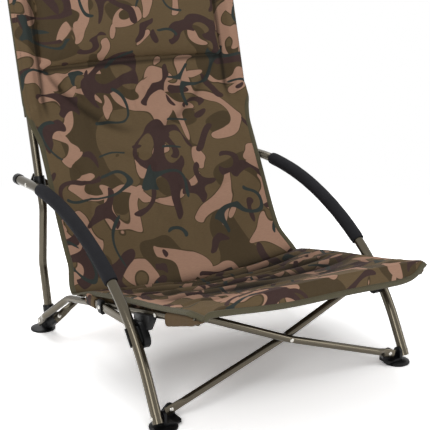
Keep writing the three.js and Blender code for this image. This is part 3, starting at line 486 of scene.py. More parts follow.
def noisy(tree, vector, scale, detail=2.0, distortion=0.0, dimensions="3D", output=0):
    made = wire(tree, "ShaderNodeTexNoise", {"Vector": vector, "Scale": scale, "Detail": detail,
                                             "Distortion": distortion}, noise_dimensions=dimensions)
    return made.outputs[output]


def bump(tree, height, distance, strength=1.0, normal=None):
    inputs = {"Height": height, "Distance": distance, "Strength": strength}
    if normal is not None:
        inputs["Normal"] = normal
    return wire(tree, "ShaderNodeBump", inputs).outputs[0]


def new_tree(kind, name, inputs, outputs):
    """A node group with named sockets; returns it, its inputs by name and its output node."""
    tree = bpy.data.node_groups.new(name, kind)
    for label, socket_kind, default in inputs:
        socket = tree.interface.new_socket(label, in_out="INPUT", socket_type=f"NodeSocket{socket_kind}")
        if default is not None:
            socket.default_value = default
    for label, socket_kind in outputs:
        tree.interface.new_socket(label, in_out="OUTPUT", socket_type=f"NodeSocket{socket_kind}")
    entry = tree.nodes.new("NodeGroupInput")
    leave = tree.nodes.new("NodeGroupOutput")
    return tree, {s.name: s for s in entry.outputs}, leave


# Shader groups

def once(home, name):
    """Makes a datablock of this name on the first call, and finds it by the name from then on."""
    def decorate(make):
        return lambda: getattr(bpy.data, home).get(name) or make(name)
    return decorate


@once("node_groups", "Woodland print")
def camouflage_group(name):
    """Rounded limbs and blotches in three colours on a two-tone ground, from gently warped noise."""
    tree, given, leave = new_tree("ShaderNodeTree", name, [
        ("Vector", "Vector", None), ("Scale", "Float", 9.5), ("Ground", "Color", (0.12, 0.09, 0.05, 1)),
        ("Shade", "Color", (0.07, 0.05, 0.03, 1)), ("Light", "Color", (0.4, 0.24, 0.16, 1)),
        ("Dark", "Color", (0.05, 0.03, 0.03, 1)), ("Branch", "Color", (0.03, 0.04, 0.04, 1)),
    ], [("Color", "Color"), ("Lightness", "Float")])
    scaled = scaled_vector(tree, given["Vector"], given["Scale"])
    bend = noisy(tree, scaled, 0.8, 0.0, 0.0, "2D", "Color")
    moved = scaled_vector(tree, vectors(tree, "SUBTRACT", bend, (0.5, 0.5, 0.5)), PRINT_WARP)
    warped = vectors(tree, "ADD", scaled, moved)

    def layer(offset, turn, stretch, scale):
        placed = wire(tree, "ShaderNodeMapping", {"Vector": warped, "Location": (offset, 1.7 * offset, 0),
                                                  "Rotation": (0, 0, turn), "Scale": (1, stretch, 1)})
        return noisy(tree, placed.outputs[0], scale, 0.0, 0.0, "2D")

    def limbs(offset, turn, scale, width, cut, steep):
        """Positive on limbs with round ends: along one noise's middle, where a second noise is high."""
        off = sums(tree, "SUBTRACT", layer(offset, turn, 1.35, scale), 0.5)
        short = sums(tree, "SUBTRACT", cut, layer(offset + 13.7, 0.5 - turn, 1.0, scale))
        short = sums(tree, "MULTIPLY", sums(tree, "MAXIMUM", short, 0.0), steep)
        far = sums(tree, "SQRT", sums(tree, "MULTIPLY_ADD", off, off, sums(tree, "MULTIPLY", short, short)))
        return sums(tree, "SUBTRACT", width, far)

    tan, brown, teal = [[limbs(*row) for row in PRINT_LIMBS[name]] for name in ("tan", "brown", "teal")]
    tan = sums(tree, "MAXIMUM", *tan)
    rim = threshold(tree, tan, -0.016, -0.010)
    light, dark, branch = [
        threshold(tree, part, 0.0, 0.006) for part in (tan, sums(tree, "MAXIMUM", *brown), teal[0])]
    shade = threshold(tree, layer(3.1, 0.3, 1.2, 0.8), 0.56, 0.57)
    result = mixed(tree, sums(tree, "MAXIMUM", shade, rim), given["Ground"], given["Shade"])
    for mask, name in ((light, "Light"), (dark, "Dark"), (branch, "Branch")):
        result = mixed(tree, mask, result, given[name])
    feed(tree, leave, {"Color": result, "Lightness": light})
    return tree


@once("node_groups", "Plain weave")
def weave_group(name):
    """Crossing threads of a plain weave, as a height, and the fading between threads."""
    tree, given, leave = new_tree("ShaderNodeTree", name, [
        ("Vector", "Vector", None), ("Threads", "Float", 1400.0)], [("Height", "Float"), ("Slub", "Float")])
    parts = wire(tree, "ShaderNodeSeparateXYZ", {0: scaled_vector(tree, given["Vector"], given["Threads"])})
    across, along = [
        sums(tree, "ABSOLUTE", sums(tree, "SINE", sums(tree, "MULTIPLY", part, math.pi)))
        for part in parts.outputs[:2]]
    turns = sums(tree, "ADD", *[sums(tree, "FLOOR", part) for part in parts.outputs[:2]])
    over = sums(tree, "PINGPONG", turns, 1.0)
    height = wire(tree, "ShaderNodeMix", {0: over, 2: across, 3: along}).outputs[0]
    slub = noisy(tree, vectors(tree, "MULTIPLY", given["Vector"], (90, 700, 1)), 1.0, 2.0)
    feed(tree, leave, {"Height": height, "Slub": slub})
    return tree


@once("node_groups", "Surface life")
def wear_group(name):
    """Broad colour drift, fine grain and rubbed streaks, for paint, plastic, foam and steel."""
    tree, given, leave = new_tree("ShaderNodeTree", name, [
        ("Vector", "Vector", None), ("Drift scale", "Float", 12.0), ("Grain scale", "Float", 900.0),
    ], [("Drift", "Float"), ("Grain", "Float"), ("Rubbed", "Float")])
    streaks = noisy(tree, vectors(tree, "MULTIPLY", given["Vector"], (60, 60, 14)), 1.0, 4.0)
    feed(tree, leave, {
        "Drift": noisy(tree, given["Vector"], given["Drift scale"], 3.0),
        "Grain": noisy(tree, given["Vector"], given["Grain scale"], 2.0),
        "Rubbed": threshold(tree, streaks, 0.58, 0.72),
    })
    return tree


# Finishes

def start_material(name):
    material = bpy.data.materials.new(name)
    material.use_nodes = True
    tree = material.node_tree
    return material, tree, tree.nodes["Principled BSDF"]


def object_place(tree):
    return wire(tree, "ShaderNodeTexCoord").outputs["Object"]


def cloth_map(tree):
    return wire(tree, "ShaderNodeUVMap", uv_map="cloth").outputs[0]


def opaque(value):
    return (*value[:3], 1.0)


def darker(value, factor):
    return (*[part * factor for part in value[:3]], 1.0)


def surface_life(tree, drift_scale, grain_scale):
    made = wire(tree, "ShaderNodeGroup", {
        "Vector": object_place(tree), "Drift scale": drift_scale, "Grain scale": grain_scale,
    }, node_tree=wear_group())
    return made.outputs


def weave_on(tree, flat, threads=1400.0):
    made = wire(tree, "ShaderNodeGroup", {"Vector": flat, "Threads": threads}, node_tree=weave_group())
    return made.outputs


@once("materials", "Satin frame paint")
def satin_paint(name):
    paint = bpy.context.scene.chair_frame.paint
    material, tree, shader = start_material(name)
    life = surface_life(tree, 9.0, 1500.0)
    drift = scaled_to(tree, life["Drift"], 0.2, 0.8)
    feed(tree, shader, {
        "Base Color": mixed(tree, drift, darker(paint, 0.9), darker(paint, 1.1)),
        "Roughness": scaled_to(tree, life["Rubbed"], 0.20, 0.16),
        "Metallic": 0.9,
        "Specular IOR Level": 0.3,
        "Normal": bump(tree, life["Grain"], 0.00001),
    })
    return material


@once("materials", "Moulded black plastic")
def moulded_plastic(name):
    plastic = bpy.context.scene.chair_frame.plastic
    material, tree, shader = start_material(name)
    life = surface_life(tree, 25.0, 700.0)
    feed(tree, shader, {
        "Base Color": mixed(tree, life["Rubbed"], opaque(plastic), darker(plastic, 1.8)),
        "Roughness": scaled_to(tree, life["Drift"], 0.32, 0.44),
        "Specular IOR Level": 0.2,
        "Normal": bump(tree, life["Grain"], 0.00012),
    })
    return material


@once("materials", "Closed cell foam")
def foam_skin(name):
    foam = bpy.context.scene.chair_pads.foam
    material, tree, shader = start_material(name)
    life = surface_life(tree, 30.0, 1100.0)
    cells = wire(tree, "ShaderNodeTexVoronoi", {"Vector": object_place(tree), "Scale": 750.0})
    feed(tree, shader, {
        "Base Color": mixed(tree, life["Drift"], darker(foam, 0.8), darker(foam, 1.2)),
        "Roughness": 0.85,
        "Specular IOR Level": 0.15,
        "Normal": bump(tree, sums(tree, "ADD", cells.outputs["Distance"], life["Grain"]), 0.0003),
    })
    return material


@once("materials", "Plated rivet steel")
def plated_steel(name):
    steel = bpy.context.scene.chair_frame.steel
    material, tree, shader = start_material(name)
    life = surface_life(tree, 80.0, 2500.0)
    feed(tree, shader, {
        "Base Color": mixed(tree, life["Drift"], darker(steel, 0.85), opaque(steel)),
        "Roughness": scaled_to(tree, life["Grain"], 0.2, 0.36),
        "Metallic": 1.0,
    })
    return material


@once("materials", "Printed cloth")
def printed_cloth(name):
    """The print, faded along its threads, with painted shade that darkens it in the folds."""
    cloth = bpy.context.scene.chair_cloth
    material, tree, shader = start_material(name)
    flat = cloth_map(tree)
    pattern = wire(tree, "ShaderNodeGroup", {
        "Vector": flat, "Scale": cloth.print_scale, "Ground": opaque(cloth.olive),
        "Shade": opaque(cloth.dark_olive), "Light": opaque(cloth.tan), "Dark": opaque(cloth.brown),
        "Branch": opaque(cloth.teal),
    }, node_tree=camouflage_group())
    weave = weave_on(tree, flat)
    faded = wire(tree, "ShaderNodeHueSaturation", {
        "Color": pattern.outputs["Color"], "Value": scaled_to(tree, weave["Slub"], 0.86, 1.14)})
    # Painted shade: the valley attribute mixes the print towards near-black in folds, grooves and joins
    valley = wire(tree, "ShaderNodeAttribute", attribute_name="valley").outputs["Fac"]
    fine = bump(tree, weave["Height"], 0.00012, 0.8)
    feed(tree, shader, {
        "Base Color": mixed(tree, valley, faded.outputs[0], PAINTED_FOLD_SHADE),
        "Roughness": scaled_to(tree, pattern.outputs["Lightness"], 0.72, 0.8),
        "Specular IOR Level": 0.12,
        "Normal": bump(tree, noisy(tree, flat, 38.0, 3.0, 0.8), 0.004, 0.5, fine),
    })
    return material


@once("materials", "Plain pocket canvas")
def pocket_canvas(name):
    pocket = bpy.context.scene.chair_cloth.pocket
    material, tree, shader = start_material(name)
    flat = cloth_map(tree)
    weave = weave_on(tree, flat)
    drift = scaled_to(tree, noisy(tree, flat, 30.0, 3.0), 0.1, 0.9)
    feed(tree, shader, {
        "Base Color": mixed(tree, drift, darker(pocket, 0.72), darker(pocket, 1.2)),
        "Roughness": scaled_to(tree, weave["Slub"], 0.76, 0.86),
        "Specular IOR Level": 0.3,
        "Normal": bump(tree, weave["Height"], 0.00015),
    })
    return material


@once("materials", "Woven binding tape")
def woven_tape(name):
    binding = bpy.context.scene.chair_cloth.binding
    material, tree, shader = start_material(name)
    weave = weave_on(tree, cloth_map(tree), 900.0)
    feed(tree, shader, {
        "Base Color": mixed(tree, weave["Slub"], darker(binding, 0.82), darker(binding, 1.12)),
        "Roughness": 0.8,
        "Sheen Weight": 0.1,
        "Normal": bump(tree, weave["Height"], 0.0002),
    })
    return material


@once("materials", "Sewing thread")
def sewing_thread(name):
    thread = bpy.context.scene.chair_cloth.dark_olive
    material, tree, shader = start_material(name)
    twist = noisy(tree, object_place(tree), 2200.0, 1.0)
    feed(tree, shader, {
        "Base Color": mixed(tree, twist, darker(thread, 0.7), darker(thread, 1.1)), "Roughness": 0.7})
    return material


# Geometry Nodes

def shape_tree(name, inputs):
    """A Geometry Nodes tree with named sizes and a material."""
    return new_tree("GeometryNodeTree", name, [
        ("Geometry", "Geometry", None), *[(label, "Float", default) for label, default in inputs],
        ("Material", "Material", None),
    ], [("Geometry", "Geometry")])


def finish_tree(tree, geometry, given, leave):
    whole = wire(tree, "GeometryNodeRealizeInstances", {"Geometry": geometry})
    rounded = wire(tree, "GeometryNodeSetShadeSmooth", {"Geometry": whole.outputs[0], "Shade Smooth": True})
    painted = wire(tree, "GeometryNodeSetMaterial", {
        "Geometry": rounded.outputs[0], "Material": given["Material"]})
    tree.links.new(painted.outputs[0], leave.inputs[0])
    return tree


def attribute(tree, name, kind="FLOAT"):
    return wire(tree, "GeometryNodeInputNamedAttribute", {"Name": name}, data_type=kind).outputs[0]


def laid_on(tree, points, piece, direction, **options):
    """Copies of a piece on points, each turned along the point's own direction."""
    turn = wire(tree, "FunctionNodeAlignRotationToVector", {
        "Vector": attribute(tree, direction, "FLOAT_VECTOR")}, axis="Z")
    copies = wire(tree, "GeometryNodeInstanceOnPoints", {
        "Points": points.outputs[0], "Instance": piece.outputs[0], "Rotation": turn.outputs[0], **options})
    return copies.outputs[0]


@once("node_groups", "Tube with pressed ends")
def tube_tree(name):
    """A tube along a row of edges, pressed across its "out" direction where "pressed" is 1."""
    tree, given, leave = shape_tree(name, [
        ("Diameter", 0.02), ("Pressed thickness", 0.005), ("Pressed width", 0.02)])
    curve = wire(tree, "GeometryNodeMeshToCurve", {"Mesh": given["Geometry"]})
    place = wire(tree, "GeometryNodeInputPosition").outputs[0]
    middle = wire(tree, "GeometryNodeStoreNamedAttribute", {
        "Geometry": curve.outputs[0], "Name": "middle", "Value": place,
    }, data_type="FLOAT_VECTOR", domain="POINT")
    ring = wire(tree, "GeometryNodeCurvePrimitiveCircle", {
        "Resolution": TUBE_SIDES, "Radius": sums(tree, "MULTIPLY", given["Diameter"], 0.5)}, mode="RADIUS")
    tube = wire(tree, "GeometryNodeCurveToMesh", {
        "Curve": middle.outputs[0], "Profile Curve": ring.outputs[0], "Fill Caps": True})
    centre, out, across = [attribute(tree, name, "FLOAT_VECTOR") for name in ("middle", "out", "across")]
    spoke = vectors(tree, "SUBTRACT", place, centre)
    pressed = attribute(tree, "pressed")

    def widened(direction, target):
        reach = wire(tree, "ShaderNodeVectorMath", {0: spoke, 1: direction}, operation="DOT_PRODUCT")
        ratio = sums(tree, "DIVIDE", target, given["Diameter"])
        by = wire(tree, "ShaderNodeMix", {0: pressed, 2: 1.0, 3: ratio}).outputs[0]
        return scaled_vector(tree, direction, sums(tree, "MULTIPLY", reach.outputs["Value"], by))

    moved = vectors(
        tree, "ADD", widened(out, given["Pressed thickness"]), widened(across, given["Pressed width"]))
    shaped = wire(tree, "GeometryNodeSetPosition", {
        "Geometry": tube.outputs[0], "Position": vectors(tree, "ADD", centre, moved)})
    return finish_tree(tree, shaped.outputs[0], given, leave)


@once("node_groups", "Rivets on points")
def rivet_tree(name):
    """A domed rivet head and its shank on each point, along the point's "axis"."""
    tree, given, leave = shape_tree(name, [
        ("Head radius", 0.0047), ("Head height", 0.0021), ("Shank radius", 0.0024)])
    ball = wire(tree, "GeometryNodeMeshUVSphere", {
        "Segments": 24, "Rings": 12, "Radius": given["Head radius"]})
    flat = sums(tree, "DIVIDE", given["Head height"], given["Head radius"])
    squeeze = wire(tree, "ShaderNodeCombineXYZ", {0: 1.0, 1: 1.0, 2: flat})
    head = wire(tree, "GeometryNodeTransform", {"Geometry": ball.outputs[0], "Scale": squeeze.outputs[0]})
    rod = wire(tree, "GeometryNodeMeshCylinder", {
        "Vertices": 16, "Radius": given["Shank radius"], "Depth": 1.0})
    shank = wire(tree, "GeometryNodeTransform", {"Geometry": rod.outputs[0], "Translation": (0, 0, -0.5)})
    reach = wire(tree, "ShaderNodeCombineXYZ", {0: 1.0, 1: 1.0, 2: attribute(tree, "reach")})
    points = wire(tree, "GeometryNodeMeshToPoints", {"Mesh": given["Geometry"]})
    both = tree.nodes.new("GeometryNodeJoinGeometry")
    tree.links.new(laid_on(tree, points, head, "axis"), both.inputs[0])
    tree.links.new(laid_on(tree, points, shank, "axis", Scale=reach.outputs[0]), both.inputs[0])
    return finish_tree(tree, both.outputs[0], given, leave)


@once("node_groups", "Stitches on points")
def stitch_tree(name):
    """Stitches laid end to end on a row of points, along each point's "along"."""
    tree, given, leave = shape_tree(name, [("Length", 0.003), ("Thread radius", 0.0004)])
    ball = wire(tree, "GeometryNodeMeshUVSphere", {"Segments": 6, "Rings": 4, "Radius": 1.0})
    half = sums(tree, "MULTIPLY", given["Length"], 0.5)
    squeeze = wire(tree, "ShaderNodeCombineXYZ", {
        0: given["Thread radius"], 1: given["Thread radius"], 2: half})
    stitch = wire(tree, "GeometryNodeTransform", {"Geometry": ball.outputs[0], "Scale": squeeze.outputs[0]})
    points = wire(tree, "GeometryNodeMeshToPoints", {"Mesh": given["Geometry"]})
    return finish_tree(tree, laid_on(tree, points, stitch, "along"), given, leave)


def run_tree(name, tree, points, inputs, edges=(), fields=None):
    """Runs a tree on points that carry named values, and keeps the result as a plain mesh."""
    mesh = bpy.data.meshes.new(name)
    mesh.from_pydata(points, edges, [])
    for label, values in (fields or {}).items():
        if isinstance(values[0], (int, float)):
            field = mesh.attributes.new(label, "FLOAT", "POINT")
            field.data.foreach_set("value", values)
        else:
            field = mesh.attributes.new(label, "FLOAT_VECTOR", "POINT")
            field.data.foreach_set("vector", [part for value in values for part in value])
    piece = bpy.data.objects.new(name, mesh)
    bpy.context.scene.collection.objects.link(piece)
    modifier = piece.modifiers.new("Shape", "NODES")
    modifier.node_group = tree
    for item in tree.interface.items_tree:
        if item.item_type == "SOCKET" and item.in_out == "INPUT" and item.name in inputs:
            modifier[item.identifier] = inputs[item.name]
    keep_result(piece)
    turn_out(piece.data)
    return piece


# Paths of the tubes, for the left side

def post_path():
    corners = [
        Vector((-POST_X, POST_FOOT_Y, POST_FOOT_Z)), Vector((-POST_X, LOW_BEND_Y, LOW_BEND_Z)),
        Vector((-POST_X, HIGH_BEND_Y, HIGH_BEND_Z)), Vector((-POST_X, post_y(POST_TOP), POST_TOP)),
    ]
    return rounded_path(corners, BEND_RADIUS)


def arm_path():
    def heading(angle):
        return Vector((0, -math.cos(angle), -math.sin(angle)))

    def travel(a, b):
        return Vector((math.sin(b) - math.sin(a), math.cos(a) - math.cos(b)))

    def bend(start, radius, a, b):
        count = math.ceil((b - a) / math.radians(2))
        steps = [travel(a, mix(a, b, (i + 1) / count)) for i in range(count)]
        return [Vector((start.x, start.y - radius * s.x, start.z - radius * s.y)) for s in steps]

    pivot = Vector((-ARM_X, post_y(ARM_PIVOT_Z), ARM_PIVOT_Z))
    start = pivot + heading(HEADINGS[0]) * ARM_STRAIGHT
    end = FOOT_PIVOT - heading(HEADINGS[2]) * LEG_STRAIGHT
    first, second = travel(*HEADINGS[:2]), travel(*HEADINGS[1:])
    way = Vector((start.y - end.y, start.z - end.z))
    split = first.cross(second)
    arm = bend(start, way.cross(second) / split, *HEADINGS[:2])
    leg = bend(arm[-1], first.cross(way) / split, *HEADINGS[1:])
    rear_end = pivot - heading(HEADINGS[0]) * ARM_OVERHANG
    low_end = FOOT_PIVOT + heading(HEADINGS[2]) * LEG_TAIL
    return [rear_end, pivot, start, *arm, *leg, low_end]


def rail_path(pressed_length):
    along = RAIL_BEND - RAIL_PIN
    along.x = 0
    along.normalize()
    corners = [RAIL_PIN - along * pressed_length, RAIL_PIN + along * RAIL_FLAT, RAIL_BEND, RAIL_TIP]
    return rounded_path(corners, BEND_RADIUS)


def rear_cross_ends():
    slider = Vector((-POST_X, post_y(ARM_PIVOT_Z), ARM_PIVOT_Z))
    top = slider + LEAN_UP * 0.010 + LEAN_BACK * 0.028
    top.x = -POST_X + 0.008
    bottom = top - LEAN_UP * ((top.z - REAR_CROSS_FOOT_Z) / LEAN_UP.z)
    return bottom, top


def front_cross_path(pressed_length):
    bottom = Vector((-FRONT_CROSS_X, FRONT_CROSS_Y, FRONT_CROSS_FOOT_Z))
    middle = Vector((0, FRONT_CROSS_Y, FRONT_CROSS_RIVET_Z))
    top = Vector((FRONT_CROSS_TOP_X, FRONT_CROSS_Y, rail_z(FRONT_CROSS_Y) + 0.005))
    start = bottom - (middle - bottom).normalized() * pressed_length
    return rounded_path([start, middle, top], FRONT_CROSS_BEND)


# Surfaces of the cloth: u runs across from -1 to 1

def seat_half_width(y):
    """Half the seat's width: pulled in at the front corners, flared to the back's corners."""
    flare = SEAT_REAR_CORNER_X + rail_x(SEAT_REAR_Y) - SEAT_OVERHANG
    pull = CORNER_PULL * smooth((SEAT_FRONT_Y + CORNER_DEPTH - y) / CORNER_DEPTH)
    return SEAT_OVERHANG - rail_x(y) - pull + flare * smooth((y - SEAT_REAR_Y + FLARE_DEPTH) / FLARE_DEPTH)


def seat_edge_z(y):
    """Height of the seat's side edge, which humps over the rail near the rear corner."""
    hump = EDGE_HUMP * smooth((SEAT_REAR_Y - y) / HUMP_RISE) * (1 - smooth((HUMP_FALL_Y - y) / HUMP_FALL))
    drop = REAR_DROP * smooth((y - SEAT_REAR_Y + REAR_DROP_DEPTH) / REAR_DROP_DEPTH)
    return rail_z(y) + SEAT_LIFT + hump - drop


SEAT_REAR_Z = seat_edge_z(SEAT_REAR_Y)
BACK_HIGH = POST_X - 0.014
BACK_TUCK = post_y(SEAT_REAR_Z) - BACK_EDGE_AHEAD - SEAT_REAR_Y
BACK_HANG = 0.026
BACK_HANG_START = 0.12


def seat_share(y):
    """0 at the seat's rear edge and 1 at its front edge."""
    return (SEAT_REAR_Y - y) / (SEAT_REAR_Y - SEAT_FRONT_Y)


def corner_fan(u, y):
    """Folds that run out from the seat's front corners."""
    off = Vector((abs(u) * seat_half_width(y) - seat_half_width(SEAT_FRONT_Y), y - SEAT_FRONT_Y))
    reach = off.length / FAN_REACH
    fade = smooth(2 * reach) * (1 - smooth(reach / 1.6)) * smooth(8 * (1 - abs(u)))
    return FAN_HEIGHT * math.sin(FAN_FOLDS * math.atan2(off.y, -off.x)) * fade


def creases(place, seed, scale):
    """Soft irregular folds between -1 and 1, from stretched noise."""
    value = noise.noise(Vector((place.x * scale, place.y * scale, seed)))
    bend = noise.noise(Vector((place.x * scale * 0.6 + value, place.y * scale * 0.6, seed + 7.3)))
    return 1 - 2 * min(1.0, abs(bend) * 3.2)


def creases_near(u, y):
    """The seat's creases near a point: how many widths off each lies, its strength and its depth."""
    for place, slant, bow, depth, width, centre, reach in SEAT_CREASES:
        off = (y - place - slant * u - bow * u * u) / width
        if abs(off) < 4:
            yield off, 1 - smooth((abs(u - centre) / reach - 0.45) / 0.55), depth


def seat_creases(u, y):
    """Deep creases across the seat, each with a soft ridge beside it."""
    height = 0.0
    for off, strength, depth in creases_near(u, y):
        height += strength * depth * (0.55 * math.exp(-((off - 1.7) ** 2)) - math.exp(-off * off))
    return height


def seat_point(u, y, fold):
    """A point of the seat's cloth; fold scales its small folds, and 0 leaves its folds out."""
    along = seat_share(y)
    slack = 1 - u * u
    rise = FRONT_RISE * slack * smooth((SEAT_FRONT_Y + FRONT_RISE_DEPTH - y) / FRONT_RISE_DEPTH)
    sag = mix(SEAT_SAG, SEAT_FRONT_SAG, smooth(along)) * slack
    free = smooth(6 * (1 - abs(u))) * smooth(9 * along)
    place = Vector((u * 0.28 * 0.7 + y * 0.4, y * 3.4 - u * 0.10))
    small = SMALL_FOLD_SHARE * fold * creases(place, 3.7, 5.5) * free * smooth(7 * (1 - along))
    deep = seat_creases(u, y) * free if fold else 0.0
    outer = smooth((abs(u) - CURL_START_SHARE) / (1 - CURL_START_SHARE))
    curl = EDGE_CURL * outer * smooth((SEAT_REAR_Y - 0.015 - y) / 0.060)
    corner = abs(u) ** 6 * smooth((SEAT_FRONT_Y + CORNER_DEPTH - y) / CORNER_DEPTH)
    tip = TIP_DROP[math.copysign(1, u)] * corner
    z = seat_edge_z(y) + rise - sag + corner_fan(u, y) + small + deep - curl - tip
    behind = BACK_HANG * slack * math.sin(math.pi * BACK_HANG_START) * (1 - smooth(4 * along))
    return Vector((u * seat_half_width(y), y + behind, z))


def back_half_width(z):
    """Half the panel's width: the free edge below, and the sleeve's outer edge above."""
    low = mix(SEAT_REAR_CORNER_X, FREE_EDGE_X, smooth((z - SEAT_REAR_Z) / EDGE_SWING))
    return mix(low, SLEEVE_EDGE_X, smooth((z - SLEEVE_SWING_Z) / SLEEVE_SWING))


def sleeve_puff(x, z):
    """How far the cloth stands in front of the post that it covers."""
    rise = smooth((x - SLEEVE_SEAM_X) / PUFF_RISE)
    fall = math.sqrt(max(0.0, 1 - (max(0.0, x - POST_X) / PUFF_RADIUS) ** 2))
    return SLEEVE_PUFF * rise * fall * smooth((z - PUFF_START_Z) / PUFF_START)


def long_fold(x, z):
    """How far above the fold from a pillow's corner to the back's middle a point is, and its strength."""
    part = min(1.0, abs(x) / LONG_FOLD_REACH)
    strength = smooth(part / 0.4) * (1 - smooth((part - 0.86) / 0.14))
    return z - mix(LONG_FOLD_LOW_Z, LONG_FOLD_HIGH_Z, part ** 2.2), strength


def diagonal_fold(x, z):
    """The long soft fold that runs from each corner of the pillow to the middle of the back."""
    off, strength = long_fold(x, z)
    ridge = LONG_FOLD_RIDGE * math.exp(-((off - LONG_FOLD_RIDGE_OFF) / LONG_FOLD_RIDGE_WIDTH) ** 2)
    valley = LONG_FOLD_DEPTH * math.exp(-(off / LONG_FOLD_WIDTH) ** 2)
    return (1.0 if x < 0 else 0.6) * strength * (ridge - valley)


def back_point(u, z, fold):
    """A point of the back's panel; fold scales its small folds, and 0 leaves its folds out."""
    v = (z - SEAT_REAR_Z) / (BACK_TOP - SEAT_REAR_Z)
    x = u * back_half_width(z)
    inside = min(1.0, abs(x) / BACK_HIGH)
    slack = 1 - inside * inside
    free = 1 - clamp((z - SEAT_REAR_Z) / (JOIN_Z - SEAT_REAR_Z))
    edge_y = post_y(z) - BACK_EDGE_AHEAD * free ** 0.8 - BACK_TUCK * free ** 10
    sag = BACK_SAG * (1 - u * u) * (1 - smooth(3 * v))
    hang = BACK_HANG * slack * math.sin(math.pi * clamp(BACK_HANG_START + 0.8 * v))
    folds = BACK_RIPPLE * math.sin(5 * math.pi * u * u) * (1 - smooth(4 * abs(v - 0.25)))
    loose = smooth(7 * (1 - abs(u))) * smooth(5 * v) * (1 - smooth((z - PILLOW_LOW + 0.05) / 0.05))
    place = Vector((x * 1.9 + z * 1.2, z * 1.1 - x * 1.8))
    small = SMALL_FOLD_SHARE * fold * creases(place, 11.9, 4.6) * loose
    ahead = sleeve_puff(abs(x), z)
    if fold:
        ahead += diagonal_fold(x, z) * (1 - smooth((z - PILLOW_LOW + 0.03) / 0.03))
    return Vector((x, edge_y + hang + folds * slack + small, z - sag)) - LEAN_BACK * ahead


def surface_normal(surface, u, v, step=0.002):
    """The way that a surface faces: up from the seat, forwards from the back."""
    along_u = surface(u + step, v, 0.0) - surface(u - step, v, 0.0)
    along_v = surface(u, v + step, 0.0) - surface(u, v - step, 0.0)
    return along_u.cross(along_v).normalized()


def set_painted_shade(piece, rows):
    """Stores how much painted shade each point of a cloth grid takes, most in its folds; the cloth is painted
    darker there.
    """
    values = [value for row in rows for value in row] * 2
    piece.data.attributes.new("valley", "FLOAT", "POINT").data.foreach_set("value", values)


# Painted shade on the seat: a broad band across its middle, its deep creases, and its rear edge where it
# meets the back
def seat_painted_shade(u, y):
    along = seat_share(y)
    middle = smooth(along / 0.10) * (1 - smooth((along - 0.72) / 0.22)) * smooth(5 * (1 - abs(u)))
    rear = math.exp(-(along / 0.03) ** 2) * smooth(12 * (1 - abs(u)))
    deep = sum(strength * math.exp(-off * off) for off, strength, depth in creases_near(u, y))
    return min(DARKEST_PAINTED_SHADE, 0.30 * middle + 0.75 * deep + 0.5 * rear)


# Painted shade on the back: a groove beside each sleeve seam, a line along the pillow's lower seam, the long
# diagonal folds (stronger on the left), and the foot where the back meets the seat
def back_painted_shade(u, z):
    x = abs(u) * back_half_width(z)
    groove = 0.75 * math.exp(-((x - SLEEVE_SEAM_X + 0.004) / 0.006) ** 2) * smooth((z - 0.49) / 0.05)
    seam = 0.7 * math.exp(-((z - PILLOW_LOW + 0.003) / 0.005) ** 2) * smooth((SLEEVE_SEAM_X - x) / 0.01)
    off, strength = long_fold(x, z)
    fold = (0.55 if u < 0 else 0.35) * strength * math.exp(-(off / 0.009) ** 2)
    foot = 0.55 * math.exp(-((z - SEAT_REAR_Z) / 0.010) ** 2)
    return min(DARKEST_PAINTED_SHADE, groove + seam + fold + foot)


def width_shares(columns):
    """Shares of a cloth's width from -1 to 1, closer together towards its edges."""
    return [mix(t, math.sin(math.pi * t / 2), 0.6) for t in [2 * k / columns - 1 for k in range(columns + 1)]]


def flattened(value, power):
    """A sine or cosine that lingers near 1 and -1, which squares a round section off."""
    return abs(value) ** power * math.copysign(1, value)


def edge_run(surface, side, levels):
    """A cloth's edge, the ways into the cloth from it, its stitch line and the ways that line faces."""
    edge = [surface(side, v, 0.0) for v in levels]
    inside = [surface(side * 0.97, v, 0.0) - point for v, point in zip(levels, edge)]
    seam = [surface(side * EDGE_SEAM_SHARE, v, 0.0) for v in levels]
    ups = [surface_normal(surface, side * EDGE_SEAM_SHARE, v) for v in levels]
    return edge, inside, seam, ups


def cloth_grid(name, grid, uv_grid, thickness, finish):
    """A closed thin sheet over a grid of points."""
    rows, columns = len(grid), len(grid[0])
    normals = []
    for i in range(rows):
        for k in range(columns):
            a = grid[i][min(columns - 1, k + 1)] - grid[i][max(0, k - 1)]
            b = grid[min(rows - 1, i + 1)][k] - grid[max(0, i - 1)][k]
            normals.append(a.cross(b).normalized() * (thickness / 2))
    flat = [p for row in grid for p in row]
    vertices = [p - n for p, n in zip(flat, normals)] + [p + n for p, n in zip(flat, normals)]
    uvs = [uv for row in uv_grid for uv in row] * 2
    under = rows * columns
    faces = []
    for i in range(rows - 1):
        for k in range(columns - 1):
            a = i * columns + k
            faces.append((a, a + columns, a + columns + 1, a + 1))
            faces.append((under + a, under + a + 1, under + a + columns + 1, under + a + columns))
    for i in range(rows - 1):
        for k, flip in ((0, False), (columns - 1, True)):
            a, b = i * columns + k, (i + 1) * columns + k
            faces.append((a, b, under + b, under + a) if flip else (a, under + a, under + b, b))
    for k in range(columns - 1):
        for i, flip in ((0, True), (rows - 1, False)):
            a, b = i * columns + k, i * columns + k + 1
            faces.append((a, b, under + b, under + a) if flip else (a, under + a, under + b, b))
    return make_piece(name, vertices, faces, finish, uvs)


def tape_along(name, path, inside, thickness, width, finish, sides=10):
    """A folded tape round an edge: a flattened round section along a path, laid towards the inside."""
    rings, uvs = [], []
    ways = tangents(path)
    lengths = lengths_of(path)
    for i, point in enumerate(path):
        inward = (inside[i] - inside[i].dot(ways[i]) * ways[i]).normalized()
        up = ways[i].cross(inward).normalized()
        ring = []
        for k in range(sides):
            angle = 2 * math.pi * (k + 0.5) / sides
            off = up * (thickness / 2 * flattened(math.sin(angle), 0.7))
            ring.append(point + inward * (width / 2 * (math.cos(angle) + 0.55)) + off)
            uvs.append((k / sides * 2 * width, lengths[i]))
        rings.append(ring)
    vertices, faces = loft(rings)
    return make_piece(name, vertices, faces, finish, uvs)


